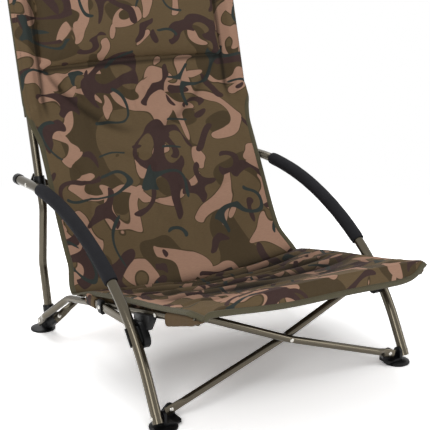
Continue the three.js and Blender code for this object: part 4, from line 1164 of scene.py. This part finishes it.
def thread_row(name, path, ups, lift):
    """Stitches along a path, lifted from the cloth."""
    settings = bpy.context.scene.chair_cloth
    spots = resampled([p + up * lift for p, up in zip(path, ups)], settings.stitch_pitch)[0]
    return run_tree(name, stitch_tree(), [p + SHIFT for p in spots], {
        "Length": settings.stitch_length, "Thread radius": THREAD_RADIUS, "Material": sewing_thread(),
    }, fields={"along": tangents(spots)})


class DRESS_OT_tubes(bpy.types.Operator):
    """Draw the painted tubes of the frame along the CAD's centrelines"""

    bl_idname = "fishing_chair.tubes"
    bl_label = "Frame tubes"

    def tube(self, node, body, path, diameter, normal, press_start=False, press_end=False):
        settings = bpy.context.scene.chair_frame
        points, marks = resampled(path, 0.005)
        flat, taper, total = 2 * settings.pressed_length, settings.press_taper, marks[-1]
        pressed = [max(
            1 - smooth((mark - flat) / taper) if press_start else 0.0,
            smooth((mark - total + flat + taper) / taper) if press_end else 0.0,
        ) for mark in marks]
        across = [normal.cross(way).normalized() for way in tangents(points)]
        out = [way.cross(side).normalized() for way, side in zip(tangents(points), across)]
        piece = run_tree(f"{node}_painted", tube_tree(), [p + SHIFT for p in points], {
            "Diameter": diameter, "Pressed thickness": settings.pressed_thickness,
            "Pressed width": settings.pressed_width, "Material": satin_paint(),
        }, [(i, i + 1) for i in range(len(points) - 1)], {"pressed": pressed, "out": out, "across": across})
        piece.data.set_sharp_from_angle(angle=math.radians(50))
        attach(piece, body)
        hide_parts(node)

    def execute(self, context):
        settings = context.scene.chair_frame
        side_way = Vector((1, 0, 0))
        for side, sign in SIDES.items():
            post, arm = mirrored(post_path(), sign), mirrored(arm_path(), sign)
            self.tube(f"back_post_{side}", f"side_{side}", post, settings.post_tube, side_way)
            self.tube(f"arm_leg_{side}", f"arm_{side}", arm, settings.arm_tube, side_way)
            rail = mirrored(rail_path(settings.pressed_length), sign)
            self.tube(f"seat_rail_{side}", f"rail_{side}", rail, settings.rail_tube, side_way, True)
            front = mirrored(front_cross_path(settings.pressed_length), sign)
            offset = Vector((0, -sign * CROSS_GAP, 0))
            self.tube(f"front_cross_tube_{side}", f"front_x_{side}", [p + offset for p in front],
                      settings.cross_tube, Vector((0, 1, 0)), True)
        bottom, top = rear_cross_ends()
        for name, sign in (("a", -1), ("b", 1)):
            offset = LEAN_BACK * (sign * CROSS_GAP)
            pins = bottom + offset, Vector((-top.x, top.y, top.z)) + offset
            ends = mirrored(extended(*pins, settings.pressed_length), sign)
            self.tube(f"rear_cross_tube_{name}", f"rear_x_{name}", ends,
                      settings.cross_tube, LEAN_BACK, True, True)
        return {"FINISHED"}


class DRESS_OT_mouldings(bpy.types.Operator):
    """Round the edges of the feet, brackets, caps, clips and stays"""

    bl_idname = "fishing_chair.mouldings"
    bl_label = "Mouldings"
    sharp = math.radians(32)

    def dress(self, node, body, finish, slot, edge):
        work = bmesh.new()
        work.from_mesh(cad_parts[node].data)
        bmesh.ops.remove_doubles(work, verts=work.verts, dist=1e-5)
        bmesh.ops.dissolve_limit(work, angle_limit=math.radians(1), verts=work.verts, edges=work.edges)
        edges = [e for e in work.edges if len(e.link_faces) == 2 and e.calc_face_angle(0) > self.sharp]
        bmesh.ops.bevel(work, geom=edges, offset=edge, segments=2, profile=0.6, affect="EDGES",
                        clamp_overlap=True)
        bmesh.ops.triangulate(work, faces=[f for f in work.faces if len(f.verts) > 4])
        bmesh.ops.recalc_face_normals(work, faces=work.faces)
        mesh = bpy.data.meshes.new(f"{node}_moulded")
        work.to_mesh(mesh)
        work.free()
        mesh.polygons.foreach_set("use_smooth", [True] * len(mesh.polygons))
        mesh.set_sharp_from_angle(angle=math.radians(38))
        mesh.materials.append(finish)
        piece = bpy.data.objects.new(f"{node}_moulded", mesh)
        bpy.context.scene.collection.objects.link(piece)
        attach(piece, body)
        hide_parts(node)

    def execute(self, context):
        edge = context.scene.chair_frame.moulding_edge
        black = moulded_plastic()
        for side in SIDES:
            for node, body in (
                ("rear_foot", "side"), ("rear_foot_bracket", "side"), ("arm_bracket", "slider"),
                ("arm_cap", "arm"), ("leg_bracket", "arm"), ("front_foot", "front_foot"),
                ("front_foot_bracket", "front_foot"), ("stay_clip", "stay"),
            ):
                self.dress(f"{node}_{side}", f"{body}_{side}", black, "black_plastic", edge)
            self.dress(f"seat_stay_{side}", f"stay_{side}", satin_paint(), "frame_paint", edge)
        return {"FINISHED"}


class DRESS_OT_rivets(bpy.types.Operator):
    """Set a domed rivet on each pin of the frame"""

    bl_idname = "fishing_chair.rivets"
    bl_label = "Rivets"
    pin_radius = 0.005
    head_seat = 0.002

    def rivets(self, name, body, pins, both_ends=()):
        """Rivets through pins of the CAD, each with a head at its outer end or at both ends."""
        settings = bpy.context.scene.chair_frame
        heads, axes, reaches = [], [], []
        for node, axis in pins:
            low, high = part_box(node)
            middle = (low + high) / 2
            half = (high - low) / 2
            reach = sum(abs(a) * h for a, h in zip(axis, half))
            if abs(axis.z) > 0.1:
                reach = (half.y - self.pin_radius * abs(axis.z)) / abs(axis.y)
            reach -= self.head_seat
            for way in ((1, -1) if node in both_ends else (1,)):
                heads.append(middle + axis * (reach * way))
                axes.append(axis * way)
                reaches.append(2 * reach if way == 1 else reach)
        piece = run_tree(name, rivet_tree(), heads, {
            "Head radius": settings.rivet_head, "Material": plated_steel(),
        }, fields={"axis": axes, "reach": reaches})
        piece.data.set_sharp_from_angle(angle=math.radians(50))
        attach(piece, body)
        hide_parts(*[node for node, axis in pins])

    def execute(self, context):
        front = Vector((0, -1, 0))
        for side, sign in SIDES.items():
            out = Vector((sign, 0, 0))
            self.rivets(f"side_rivets_{side}", f"side_{side}", [
                (f"rear_cross_pin_{side}", -LEAN_BACK), (f"rail_foot_pin_{side}", out)])
            self.rivets(f"slider_rivets_{side}", f"slider_{side}", [
                (f"arm_pin_{side}", out), (f"bracket_cross_pin_{side}", LEAN_BACK)])
            both = (f"leg_bracket_rivet_{side}", f"stay_leg_rivet_{side}")
            self.rivets(f"arm_rivets_{side}", f"arm_{side}", [(node, out) for node in both], both)
            self.rivets(f"foot_rivets_{side}", f"front_foot_{side}", [
                (f"front_cross_pin_{side}", front), (f"leg_foot_pin_{side}", out)])
            self.rivets(f"stay_rivets_{side}", f"stay_{side}", [(f"stay_rivet_{side}", out)])
            self.rivets(f"rail_rivets_{side}", f"rail_{side}", [(f"pocket_stud_{side}", out)])
        self.rivets("rear_crossing_rivet", "rear_x_a", [("rear_cross_rivet", LEAN_BACK)],
                    ("rear_cross_rivet",))
        self.rivets("front_crossing_rivet", "front_x_right", [("front_cross_rivet", front)])
        return {"FINISHED"}


class DRESS_OT_grips(bpy.types.Operator):
    """Sleeve the arms with foam"""

    bl_idname = "fishing_chair.grips"
    bl_label = "Foam grips"
    sides = 40
    clearance = 0.0002
    end_crush = 0.0009
    end_length = 0.012
    dent_depth = 0.00035

    def ring(self, point, way, reach, dents=None):
        """A ring round the arm; dents, where given, is the place in the noise that dents it."""
        up = Vector((1, 0, 0)).cross(way).normalized()
        ring = []
        for k in range(self.sides):
            angle = 2 * math.pi * k / self.sides
            far = reach
            if dents:
                along, around = dents
                spot = Vector((along, math.cos(angle) * 1.3, math.sin(angle) * 1.3 + around))
                far += self.dent_depth * noise.noise(spot)
            ring.append(point + Vector((far * math.cos(angle), 0, 0)) + up * (far * math.sin(angle)))
        return ring

    def execute(self, context):
        pads, tubes = context.scene.chair_pads, context.scene.chair_frame
        bore = tubes.arm_tube / 2 + self.clearance
        for side, sign in SIDES.items():
            start = ARM_OVERHANG + getattr(pads, f"grip_start_{side}")
            path, marks = resampled(mirrored(arm_path(), sign), 0.004, start, start + pads.grip_length)
            ways = tangents(path)
            outside = []
            for point, way, mark in zip(path, ways, marks):
                from_end = min(mark - marks[0], marks[-1] - mark)
                crush = self.end_crush * (1 - smooth(from_end / self.end_length))
                outside.append(self.ring(point, way, pads.grip / 2 - crush, (mark * 45, sign)))
            lips = ((pads.grip / 2 - 0.0016, 0.0007), (bore + 0.0012, 0.0009), (bore, 0.0002))
            ends = [
                [self.ring(path[at] + ways[at] * (inner * step), ways[at], reach) for reach, step in lips]
                for at, inner in ((0, -1), (-1, 1))]
            inside = [self.ring(point, way, bore) for point, way in zip(path[-2:0:-1], ways[-2:0:-1])]
            rings = ends[0][::-1] + outside + ends[1] + inside
            vertices, faces = loft(rings, closed_ends=False)
            last = len(vertices) - self.sides
            for k in range(self.sides):
                after = (k + 1) % self.sides
                faces.append((last + k, last + after, after, k))
            piece = make_piece(f"arm_grip_{side}_foam", vertices, faces, foam_skin())
            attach(piece, f"arm_{side}")
            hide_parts(f"arm_grip_{side}")
        return {"FINISHED"}


def crumple(piece):
    """Gives a cloth piece its own copy of its mesh."""
    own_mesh(piece)


def gather_up(piece):
    """Gives a post sleeve its own copy of its mesh."""
    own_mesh(piece)


class DRESS_OT_back(bpy.types.Operator):
    """Hang the back's cloth, its bindings and its sleeves over the posts"""

    bl_idname = "fishing_chair.back"
    bl_label = "Back cloth"
    wrap_angles = math.radians(300), math.radians(62)
    wrap_radius = 0.0126
    wrap_waves = 0.0005
    web_slack = 0.0012

    def sleeve(self, side, sign, cloth):
        """A wrap round the post, behind the panel, drawn in to the panel's inner seam."""
        rows, around, web = 72, 26, 7
        rings, uvs = [], []
        for z in spaced(SLEEVE_Z, BACK_TOP, rows):
            centre = Vector((-POST_X, post_y(z), z))
            panel = back_point(-SLEEVE_SEAM_X / back_half_width(z), z, 0.0)
            seam = (panel.x + POST_X, (panel - centre).dot(LEAN_BACK) + cloth.thickness)
            wrap = []
            for k in range(around + 1):
                angle = mix(*self.wrap_angles, k / around)
                reach = self.wrap_radius + self.wrap_waves * noise.noise(Vector((z * 30, k * 0.4, sign)))
                wrap.append((reach * math.cos(angle), reach * math.sin(angle)))
            outline = list(wrap)
            for a, b in ((wrap[-1], seam), (seam, wrap[0])):
                for k in range(1, web):
                    part = k / web
                    waves = 1 + noise.noise(Vector((z * 22, sign, part)))
                    slack = self.web_slack * math.sin(math.pi * part) * waves
                    outline.append((mix(a[0], b[0], part), mix(a[1], b[1], part) + slack))
                if b is seam:
                    outline.append(seam)
            ring = [Vector((-sign * (x - POST_X), centre.y, z)) + LEAN_BACK * n for x, n in outline]
            reach = 0.0
            for k, point in enumerate(ring):
                reach += (point - ring[k - 1]).length if k else 0.0
                uvs.append((sign * (0.30 + reach), z + 0.35))
            rings.append(ring)
        vertices, faces = loft(rings, closed_ends=False)
        piece = make_piece(f"back_sleeve_{side}_cloth", vertices, faces, printed_cloth(), uvs)
        wall = piece.modifiers.new("Cloth", "SOLIDIFY")
        wall.thickness = cloth.thickness * 0.6
        wall.offset = 0
        keep_result(piece)
        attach(piece, f"side_{side}")
        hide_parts(f"back_sleeve_{side}")
        gather_up(piece)

    def execute(self, context):
        cloth = context.scene.chair_cloth
        low = SEAT_REAR_Z + 0.001
        across, heights = width_shares(170), spaced(low, BACK_TOP, 150)
        grid = [[back_point(u, z, cloth.fold_height) for u in across] for z in heights]
        uvs = [[(p.x, z - SEAT_REAR_Z) for p in line] for line, z in zip(grid, heights)]
        piece = cloth_grid("back_sling_cloth", grid, uvs, cloth.thickness, printed_cloth())
        # Painted shade for the back's points, darker in its grooves, seams, folds and foot
        set_painted_shade(piece, [[back_painted_shade(u, z) for u in across] for z in heights])
        pieces = [piece]
        levels = spaced(low, BACK_TOP, 180)
        for side, sign in SIDES.items():
            edge, inside, seam, ups = edge_run(back_point, sign, levels)
            pieces.append(tape_along(
                f"back_edge_binding_{side}", edge, inside, BACK_TAPE, cloth.binding_width, woven_tape()))
            pieces.append(thread_row(f"back_edge_stitches_{side}", seam, ups, STITCH_LIFT))
            high = spaced(SLEEVE_Z + 0.03, BACK_TOP - 0.002, 100)
            share_at = [sign * (SLEEVE_SEAM_X + 0.0015) / back_half_width(z) for z in high]
            seam = [back_point(u, z, 0.0) for u, z in zip(share_at, high)]
            ups = [surface_normal(back_point, u, z) for u, z in zip(share_at, high)]
            pieces.append(thread_row(f"sleeve_seam_stitches_{side}", seam, ups, SEAM_LIFT))
        top = [back_point(u, BACK_TOP - 0.001, 0.0) for u in across]
        pieces.append(tape_along(
            "back_top_hem", top, [-LEAN_UP] * len(top), HEM_TAPE, HEM_WIDTH, printed_cloth()))
        for item in pieces:
            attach(item, "back_sling")
            crumple(item)
        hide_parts("back_sling")
        for side, sign in SIDES.items():
            self.sleeve(side, sign, cloth)
        return {"FINISHED"}


class DRESS_OT_seat(bpy.types.Operator):
    """Hang the seat's cloth, with the band over its front edge, its bindings and its rear loops"""

    bl_idname = "fishing_chair.seat"
    bl_label = "Seat cloth"
    band_bulge = 0.006
    flap_rear_y = 0.058
    flap_front_y = -0.290
    flap_waves = 0.0010
    flap_bulge = 0.0015
    loop_half_width = 0.0062
    loop_half_height = 0.0122

    def band(self, u, part):
        height = BAND_HEIGHT * (1 - abs(u) ** BAND_POWER[math.copysign(1, u)])
        edge = seat_point(u, SEAT_FRONT_Y, 0.0)
        return edge + Vector((0, -self.band_bulge * math.sin(math.pi / 2 * part), -height * part))

    def execute(self, context):
        cloth = context.scene.chair_cloth
        spread, depths = width_shares(160), spaced(SEAT_REAR_Y, SEAT_FRONT_Y, 170)
        band_parts = spaced(0, 1, 12)[1:]
        grid = [[seat_point(u, y, cloth.fold_height) for u in spread] for y in depths]
        grid += [[self.band(u, part) for u in spread] for part in band_parts]
        rows = depths + [SEAT_FRONT_Y - BAND_HEIGHT * part for part in band_parts]
        uvs = [[(p.x, y - SEAT_REAR_Y) for p in line] for line, y in zip(grid, rows)]
        piece = cloth_grid("seat_sling_cloth", grid, uvs, cloth.thickness, printed_cloth())
        # Painted shade for the seat's points; the front band gets none
        painted_shade_rows = [[seat_painted_shade(u, y) for u in spread] for y in depths]
        set_painted_shade(piece, painted_shade_rows + [[0.0] * len(spread)] * len(band_parts))
        pieces = [piece]

        across = spaced(-1, 1, 160)
        hem = [self.band(u, 1.0) for u in across]
        for side, sign in SIDES.items():
            edge, inside, seam, ups = edge_run(seat_point, sign, spaced(SEAT_REAR_Y, SEAT_FRONT_Y, 110))
            pieces.append(tape_along(
                f"seat_edge_binding_{side}", edge, inside, SEAT_TAPE, cloth.binding_width, woven_tape()))
            pieces.append(thread_row(f"seat_edge_stitches_{side}", seam, ups, STITCH_LIFT))
            pieces.append(self.flap(side, sign, cloth))
            pieces.append(self.loop(side, sign))
        up, front = Vector((0, 0, 1)), Vector((0, -1, 0))
        pieces.append(tape_along(
            "seat_front_hem", hem, [up] * len(hem), SEAT_TAPE, cloth.binding_width, woven_tape()))
        seam = [self.band(u, 0.80) for u in across[8:-8]]
        pieces.append(thread_row("seat_hem_stitches", seam, [front] * len(seam), STITCH_LIFT))
        for item in pieces:
            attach(item, "seat_sling")
            crumple(item)
        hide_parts("seat_sling")
        return {"FINISHED"}

    def flap(self, side, sign, cloth):
        """The turned-in hem that runs from the seat's edge down the inner side of the rail."""
        rows, columns = 90, 10
        grid, uvs = [], []
        for y in spaced(self.flap_rear_y, self.flap_front_y, rows):
            top = seat_point(-0.985, y, 0.0) - Vector((0, 0, cloth.thickness))
            foot = Vector((rail_x(y) + 0.0105, y, rail_z(y) - 0.001))
            line = []
            for k in range(columns + 1):
                part = k / columns
                wave = self.flap_waves * noise.noise(Vector((y * 26, part * 2, sign)))
                bulge = (self.flap_bulge + wave) * math.sin(math.pi * part)
                point = top.lerp(foot, part) + Vector((bulge, 0, 0))
                line.append(Vector((-sign * point.x, point.y, point.z)))
            grid.append(line)
            uvs.append([(sign * (0.30 + 0.024 * k / columns), y) for k in range(columns + 1)])
        return cloth_grid(f"seat_side_hem_{side}", grid, uvs, cloth.thickness * 0.7, printed_cloth())

    def loop(self, side, sign):
        """The loop of cloth at the seat's rear that holds the end of the stay."""
        pin = Vector((sign * STAY_X, STAY_PIN_Y, rail_z(STAY_PIN_Y)))
        stay_leg = Vector((pin.x, STAY_LEG_Y, STAY_LEG_Z))
        along = (pin - stay_leg).normalized()
        end = pin + along * STAY_REACH
        up = Vector((0, -along.z, along.y))
        rings, uvs = [], []
        around = 28
        for i, place in enumerate(spaced(-0.036, 0.0028, 24)):
            point = end + along * place
            swell = 1 + 0.05 * noise.noise(Vector((i * 0.35, sign, 2.2)))
            ring = []
            for k in range(around):
                angle = 2 * math.pi * k / around
                wide = self.loop_half_width * flattened(math.cos(angle), 0.8) * swell
                high = self.loop_half_height * flattened(math.sin(angle), 0.8) * swell
                ring.append(point + Vector((wide, 0, 0)) + up * high)
                uvs.append((angle * 0.012 + 0.3 * sign, point.y))
            rings.append(ring)
        rings.append([point + (end + along * 0.0034 - point) * 0.98 for point in rings[-1]])
        uvs.extend([(0.3 * sign, end.y)] * around)
        vertices, faces = loft(rings)
        return make_piece(f"rear_loop_{side}", vertices, faces, printed_cloth(), uvs)


class DRESS_OT_pockets(bpy.types.Operator):
    """Slip the seat's corner pockets over the rails' tips"""

    bl_idname = "fishing_chair.pockets"
    bl_label = "Corner pockets"
    rear = -0.100
    half_width = 0.0112
    rear_depth = 0.019
    end_depth = 0.0028
    tips = {"left": (0.012, 0.003, 0.0108), "right": (0.005, 0.005, 0.0075)}

    def execute(self, context):
        forward = (RAIL_TIP - RAIL_BEND).normalized()
        for side, sign in SIDES.items():
            rings, uvs = [], []
            rows, around = 44, 40
            ahead, narrowing, low = self.tips[side]
            for i in range(rows + 1):
                part = i / rows
                point = RAIL_TIP + forward * mix(self.rear, ahead, part)
                closing = smooth((part - 0.72) / 0.28)
                opening = 0.0012 * (1 - smooth(part / 0.06))
                half = self.half_width - narrowing * closing + opening
                depth = mix(self.rear_depth, low, smooth(part / 0.8)) + opening
                depth -= (low - self.end_depth) * closing
                ring = []
                for k in range(around):
                    angle = 2 * math.pi * k / around
                    x = point.x + half * math.cos(angle)
                    shape = abs(math.sin(angle)) ** 0.5
                    u = max(-1.0, x / seat_half_width(point.y))
                    over = seat_point(-sign * u, point.y, 0.0).z - 0.0026
                    wave = 0.0006 * noise.noise(Vector((part * 9, angle * 1.5, sign)))
                    under = point.z - (depth + wave) * shape
                    z = mix(point.z, over, shape) if math.sin(angle) > 0 else under
                    ring.append(Vector((-sign * (x + wave), point.y, z)))
                    uvs.append((k / around * 0.09 + 0.4 * sign, point.y))
                rings.append(ring)
            vertices, faces = loft(rings, closed_ends=False)
            faces.append(tuple(range(len(vertices) - around, len(vertices))))
            piece = make_piece(f"front_pocket_{side}_cloth", vertices, faces, pocket_canvas(), uvs)
            wall = piece.modifiers.new("Cloth", "SOLIDIFY")
            wall.thickness = 0.0014
            wall.offset = -1
            keep_result(piece)
            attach(piece, f"rail_{side}")
            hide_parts(f"front_pocket_{side}")
        return {"FINISHED"}


class DRESS_OT_pillow(bpy.types.Operator):
    """Fill the head pillow that is sewn to the top of the back"""

    bl_idname = "fishing_chair.pillow"
    bl_label = "Head pillow"
    pulled_in = 0.007
    filling_room = 0.008
    held_margin = 0.008
    frames = 20

    def shell(self, crown):
        """A crowned closed form on the back's cloth, whose sides pull in between its corners."""
        columns, rows = 96, 40
        reach = (SLEEVE_SEAM_X - 0.003) / SLEEVE_EDGE_X
        pull = self.pulled_in / SLEEVE_EDGE_X
        layers = []
        for front in (False, True):
            for i in range(rows + 1):
                b = math.sin(math.pi * (i / rows - 0.5))
                line = []
                for k in range(columns + 1):
                    a = math.sin(math.pi * (k / columns - 0.5))
                    u = a * (reach - (1 - b * b) * pull)
                    z = mix(PILLOW_LOW, PILLOW_HIGH, (b + 1) / 2) - self.pulled_in * (1 - a * a) * b
                    rise = 0.0015 + (crown * math.sqrt((1 - a ** 4) * (1 - b ** 4)) if front else 0.0)
                    line.append(back_point(u, z, 0.0) - LEAN_BACK * (0.0026 + rise))
                layers.append(line)
        return layers, rows, columns

    def execute(self, context):
        pads = context.scene.chair_pads
        layers, rows, columns = self.shell(pads.pillow_crown - self.filling_room)
        vertices = [p for line in layers for p in line]
        width = columns + 1
        top = (rows + 1) * width
        faces = []
        for i in range(rows):
            for k in range(columns):
                a = i * width + k
                faces.append((a, a + width, a + width + 1, a + 1))
                faces.append((top + a, top + a + 1, top + a + width + 1, top + a + width))
        rim = [*range(width), *[i * width + columns for i in range(1, rows + 1)]]
        rim += [rows * width + k for k in reversed(range(columns))]
        rim += [i * width for i in reversed(range(1, rows))]
        for a, b in zip(rim, rim[1:] + rim[:1]):
            faces.append((a, b, top + b, top + a))
        piece = make_piece("head_pillow_filled", vertices, faces, printed_cloth())
        self.fill(piece, pads)
        smoothing = piece.modifiers.new("Smooth", "SUBSURF")
        smoothing.levels = smoothing.render_levels = 1
        keep_result(piece)
        layer = piece.data.uv_layers.new(name="cloth")
        for loop in piece.data.loops:
            co = piece.data.vertices[loop.vertex_index].co
            layer.data[loop.index].uv = (co.x, co.z - SEAT_REAR_Z)
        piece.data.polygons.foreach_set("use_smooth", [True] * len(piece.data.polygons))
        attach(piece, "back_sling")
        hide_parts("head_pillow")
        crumple(piece)
        seam = [back_point(u, PILLOW_LOW + 0.004, 0.0) for u in spaced(-0.8, 0.8, 120)]
        row = thread_row("pillow_seam_stitches", seam, [-LEAN_BACK] * len(seam), PILLOW_SEAM_LIFT)
        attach(row, "back_sling")
        crumple(row)
        return {"FINISHED"}

    def fill(self, piece, pads):
        """Swells the pillow with air pressure, with each point's travel capped."""
        remesh = piece.modifiers.new("Even", "REMESH")
        remesh.mode = "VOXEL"
        remesh.voxel_size = 0.0055
        keep_result(piece)
        rest = [v.co.copy() for v in piece.data.vertices]
        low, high = min(c.z for c in rest), max(c.z for c in rest)
        held = piece.vertex_groups.new(name="held")
        near = [i for i, c in enumerate(rest) if min(c.z - low, high - c.z) < self.held_margin]
        held.add(near, 1.0, "REPLACE")
        cloth = piece.modifiers.new("Filling", "CLOTH")
        cloth.settings.use_pressure = True
        cloth.settings.uniform_pressure_force = pads.pillow_pressure
        cloth.settings.effector_weights.gravity = 0
        cloth.settings.vertex_group_mass = "held"
        cloth.settings.quality = 5
        cloth.point_cache.frame_end = self.frames
        for number in range(1, self.frames + 1):
            bpy.context.scene.frame_set(number)
        graph = bpy.context.evaluated_depsgraph_get()
        filled = piece.evaluated_get(graph).data
        moved = [v.co.copy() for v in filled.vertices]
        piece.modifiers.remove(cloth)
        bpy.context.scene.frame_set(1)
        for vertex, before, after in zip(piece.data.vertices, rest, moved):
            travel = after - before
            travel -= LEAN_BACK * max(0.0, travel.dot(LEAN_BACK))
            if travel.length > pads.pillow_swell:
                travel = travel.normalized() * pads.pillow_swell
            vertex.co = before + travel
        piece.data.update()


def looked_at(tree):
    """1 on rays from the camera, also by way of a reflection or through glass."""
    sight = wire(tree, "ShaderNodeLightPath")
    seen = sums(tree, "MAXIMUM", sight.outputs["Is Camera Ray"], sight.outputs["Is Glossy Ray"])
    return sums(tree, "MAXIMUM", seen, sight.outputs["Is Transmission Ray"])


class DRESS_OT_stage(bpy.types.Operator):
    """Set up the pale floor, the soft studio light and the camera"""

    bl_idname = "fishing_chair.stage"
    bl_label = "Stage"
    floor_reach = 20
    world_light = 0.42
    picture = 430

    def lamp(self, name, place, aim, extent, energy):
        data = bpy.data.lights.new(name, "AREA")
        data.shape = "RECTANGLE"
        data.size, data.size_y = extent
        data.energy = energy * bpy.context.scene.chair_stage.light
        light = bpy.data.objects.new(name, data)
        light.location = place
        light.rotation_euler = (Vector(aim) - Vector(place)).to_track_quat("-Z", "Y").to_euler()
        bpy.context.scene.collection.objects.link(light)

    def floor(self, settings):
        """A pale floor that glows white away from the chair, where it is looked at."""
        material, tree, shader = start_material("Studio floor")
        centred = wire(tree, "ShaderNodeMapping", {"Vector": object_place(tree), "Location": (0, -0.1, 0)})
        distance = wire(tree, "ShaderNodeVectorMath", {0: centred.outputs[0]}, operation="LENGTH")
        far = threshold(tree, distance.outputs["Value"], 0.75, 1.5)
        seen = looked_at(tree)
        feed(tree, shader, {
            "Base Color": scaled_vector(tree, settings.floor, sums(tree, "MULTIPLY_ADD", seen, 0.9, 1.0)),
            "Roughness": 0.9,
            "Specular IOR Level": 0.1,
        })
        glow = wire(tree, "ShaderNodeEmission", {"Color": (1, 1, 1, 1), "Strength": 1.0})
        blend = wire(tree, "ShaderNodeMixShader", {
            0: sums(tree, "MULTIPLY", far, seen), 1: shader.outputs[0], 2: glow.outputs[0]})
        tree.links.new(blend.outputs[0], tree.nodes["Material Output"].inputs[0])
        reach = self.floor_reach
        corners = [(-reach, -reach, 0), (reach, -reach, 0), (reach, reach, 0), (-reach, reach, 0)]
        mesh = bpy.data.meshes.new("studio_floor")
        mesh.from_pydata(corners, [], [(0, 1, 2, 3)])
        mesh.materials.append(material)
        piece = bpy.data.objects.new("studio_floor", mesh)
        bpy.context.scene.collection.objects.link(piece)

    def world(self):
        world = bpy.data.worlds.new("Studio")
        bpy.context.scene.world = world
        world.use_nodes = True
        tree = world.node_tree
        level = sums(tree, "MULTIPLY_ADD", looked_at(tree), 1 - self.world_light, self.world_light)
        feed(tree, tree.nodes["Background"], {"Color": (1, 1, 1, 1), "Strength": level})

    def camera(self, settings):
        data = bpy.data.cameras.new("Camera")
        data.sensor_width = 36
        data.lens = settings.focal * data.sensor_width / self.picture
        data.shift_x = (self.picture / 2 - settings.centre_x) / self.picture
        data.shift_y = (settings.centre_y - self.picture / 2) / self.picture
        camera = bpy.data.objects.new("Camera", data)
        target = Vector((0, 0, settings.target_height)) + SHIFT
        way = Vector((
            math.cos(settings.elevation) * math.sin(settings.azimuth),
            -math.cos(settings.elevation) * math.cos(settings.azimuth),
            math.sin(settings.elevation),
        ))
        camera.location = target + way * settings.distance
        camera.rotation_euler = (-way).to_track_quat("-Z", "Y").to_euler()
        bpy.context.scene.collection.objects.link(camera)
        bpy.context.scene.camera = camera

    def execute(self, context):
        settings = context.scene.chair_stage
        self.camera(settings)
        self.world()
        self.floor(settings)
        for lamp in LAMPS:
            self.lamp(*lamp)
        context.scene.view_settings.view_transform = "Standard"
        return {"FINISHED"}


class DRESS_PT_panel(bpy.types.Panel):
    bl_label = "Fishing chair"
    bl_idname = "DRESS_PT_panel"
    bl_space_type = "VIEW_3D"
    bl_region_type = "UI"
    bl_category = "Chair"

    def draw(self, context):
        for operator in OPERATORS:
            self.layout.operator(operator.bl_idname)
        for name in SETTINGS:
            for label in getattr(context.scene, name).bl_rna.properties.keys():
                if label not in ("rna_type", "name"):
                    self.layout.prop(getattr(context.scene, name), label)


SETTINGS = {
    "chair_frame": FrameSettings,
    "chair_cloth": ClothSettings,
    "chair_pads": PadSettings,
    "chair_stage": StageSettings,
}
OPERATORS = [
    DRESS_OT_stage, DRESS_OT_tubes, DRESS_OT_mouldings, DRESS_OT_rivets, DRESS_OT_grips,
    DRESS_OT_back, DRESS_OT_seat, DRESS_OT_pockets, DRESS_OT_pillow,
]


def register():
    for made in [*SETTINGS.values(), *OPERATORS, DRESS_PT_panel]:
        bpy.utils.register_class(made)
    for name, group in SETTINGS.items():
        setattr(bpy.types.Scene, name, PointerProperty(type=group))


def unregister():
    for name in SETTINGS:
        delattr(bpy.types.Scene, name)
    for made in reversed([*SETTINGS.values(), *OPERATORS, DRESS_PT_panel]):
        bpy.utils.unregister_class(made)


def main():
    register()
    for operator in OPERATORS:
        group, name = operator.bl_idname.split(".")
        getattr(getattr(bpy.ops, group), name)()


if __name__ == "__main__":
    main()
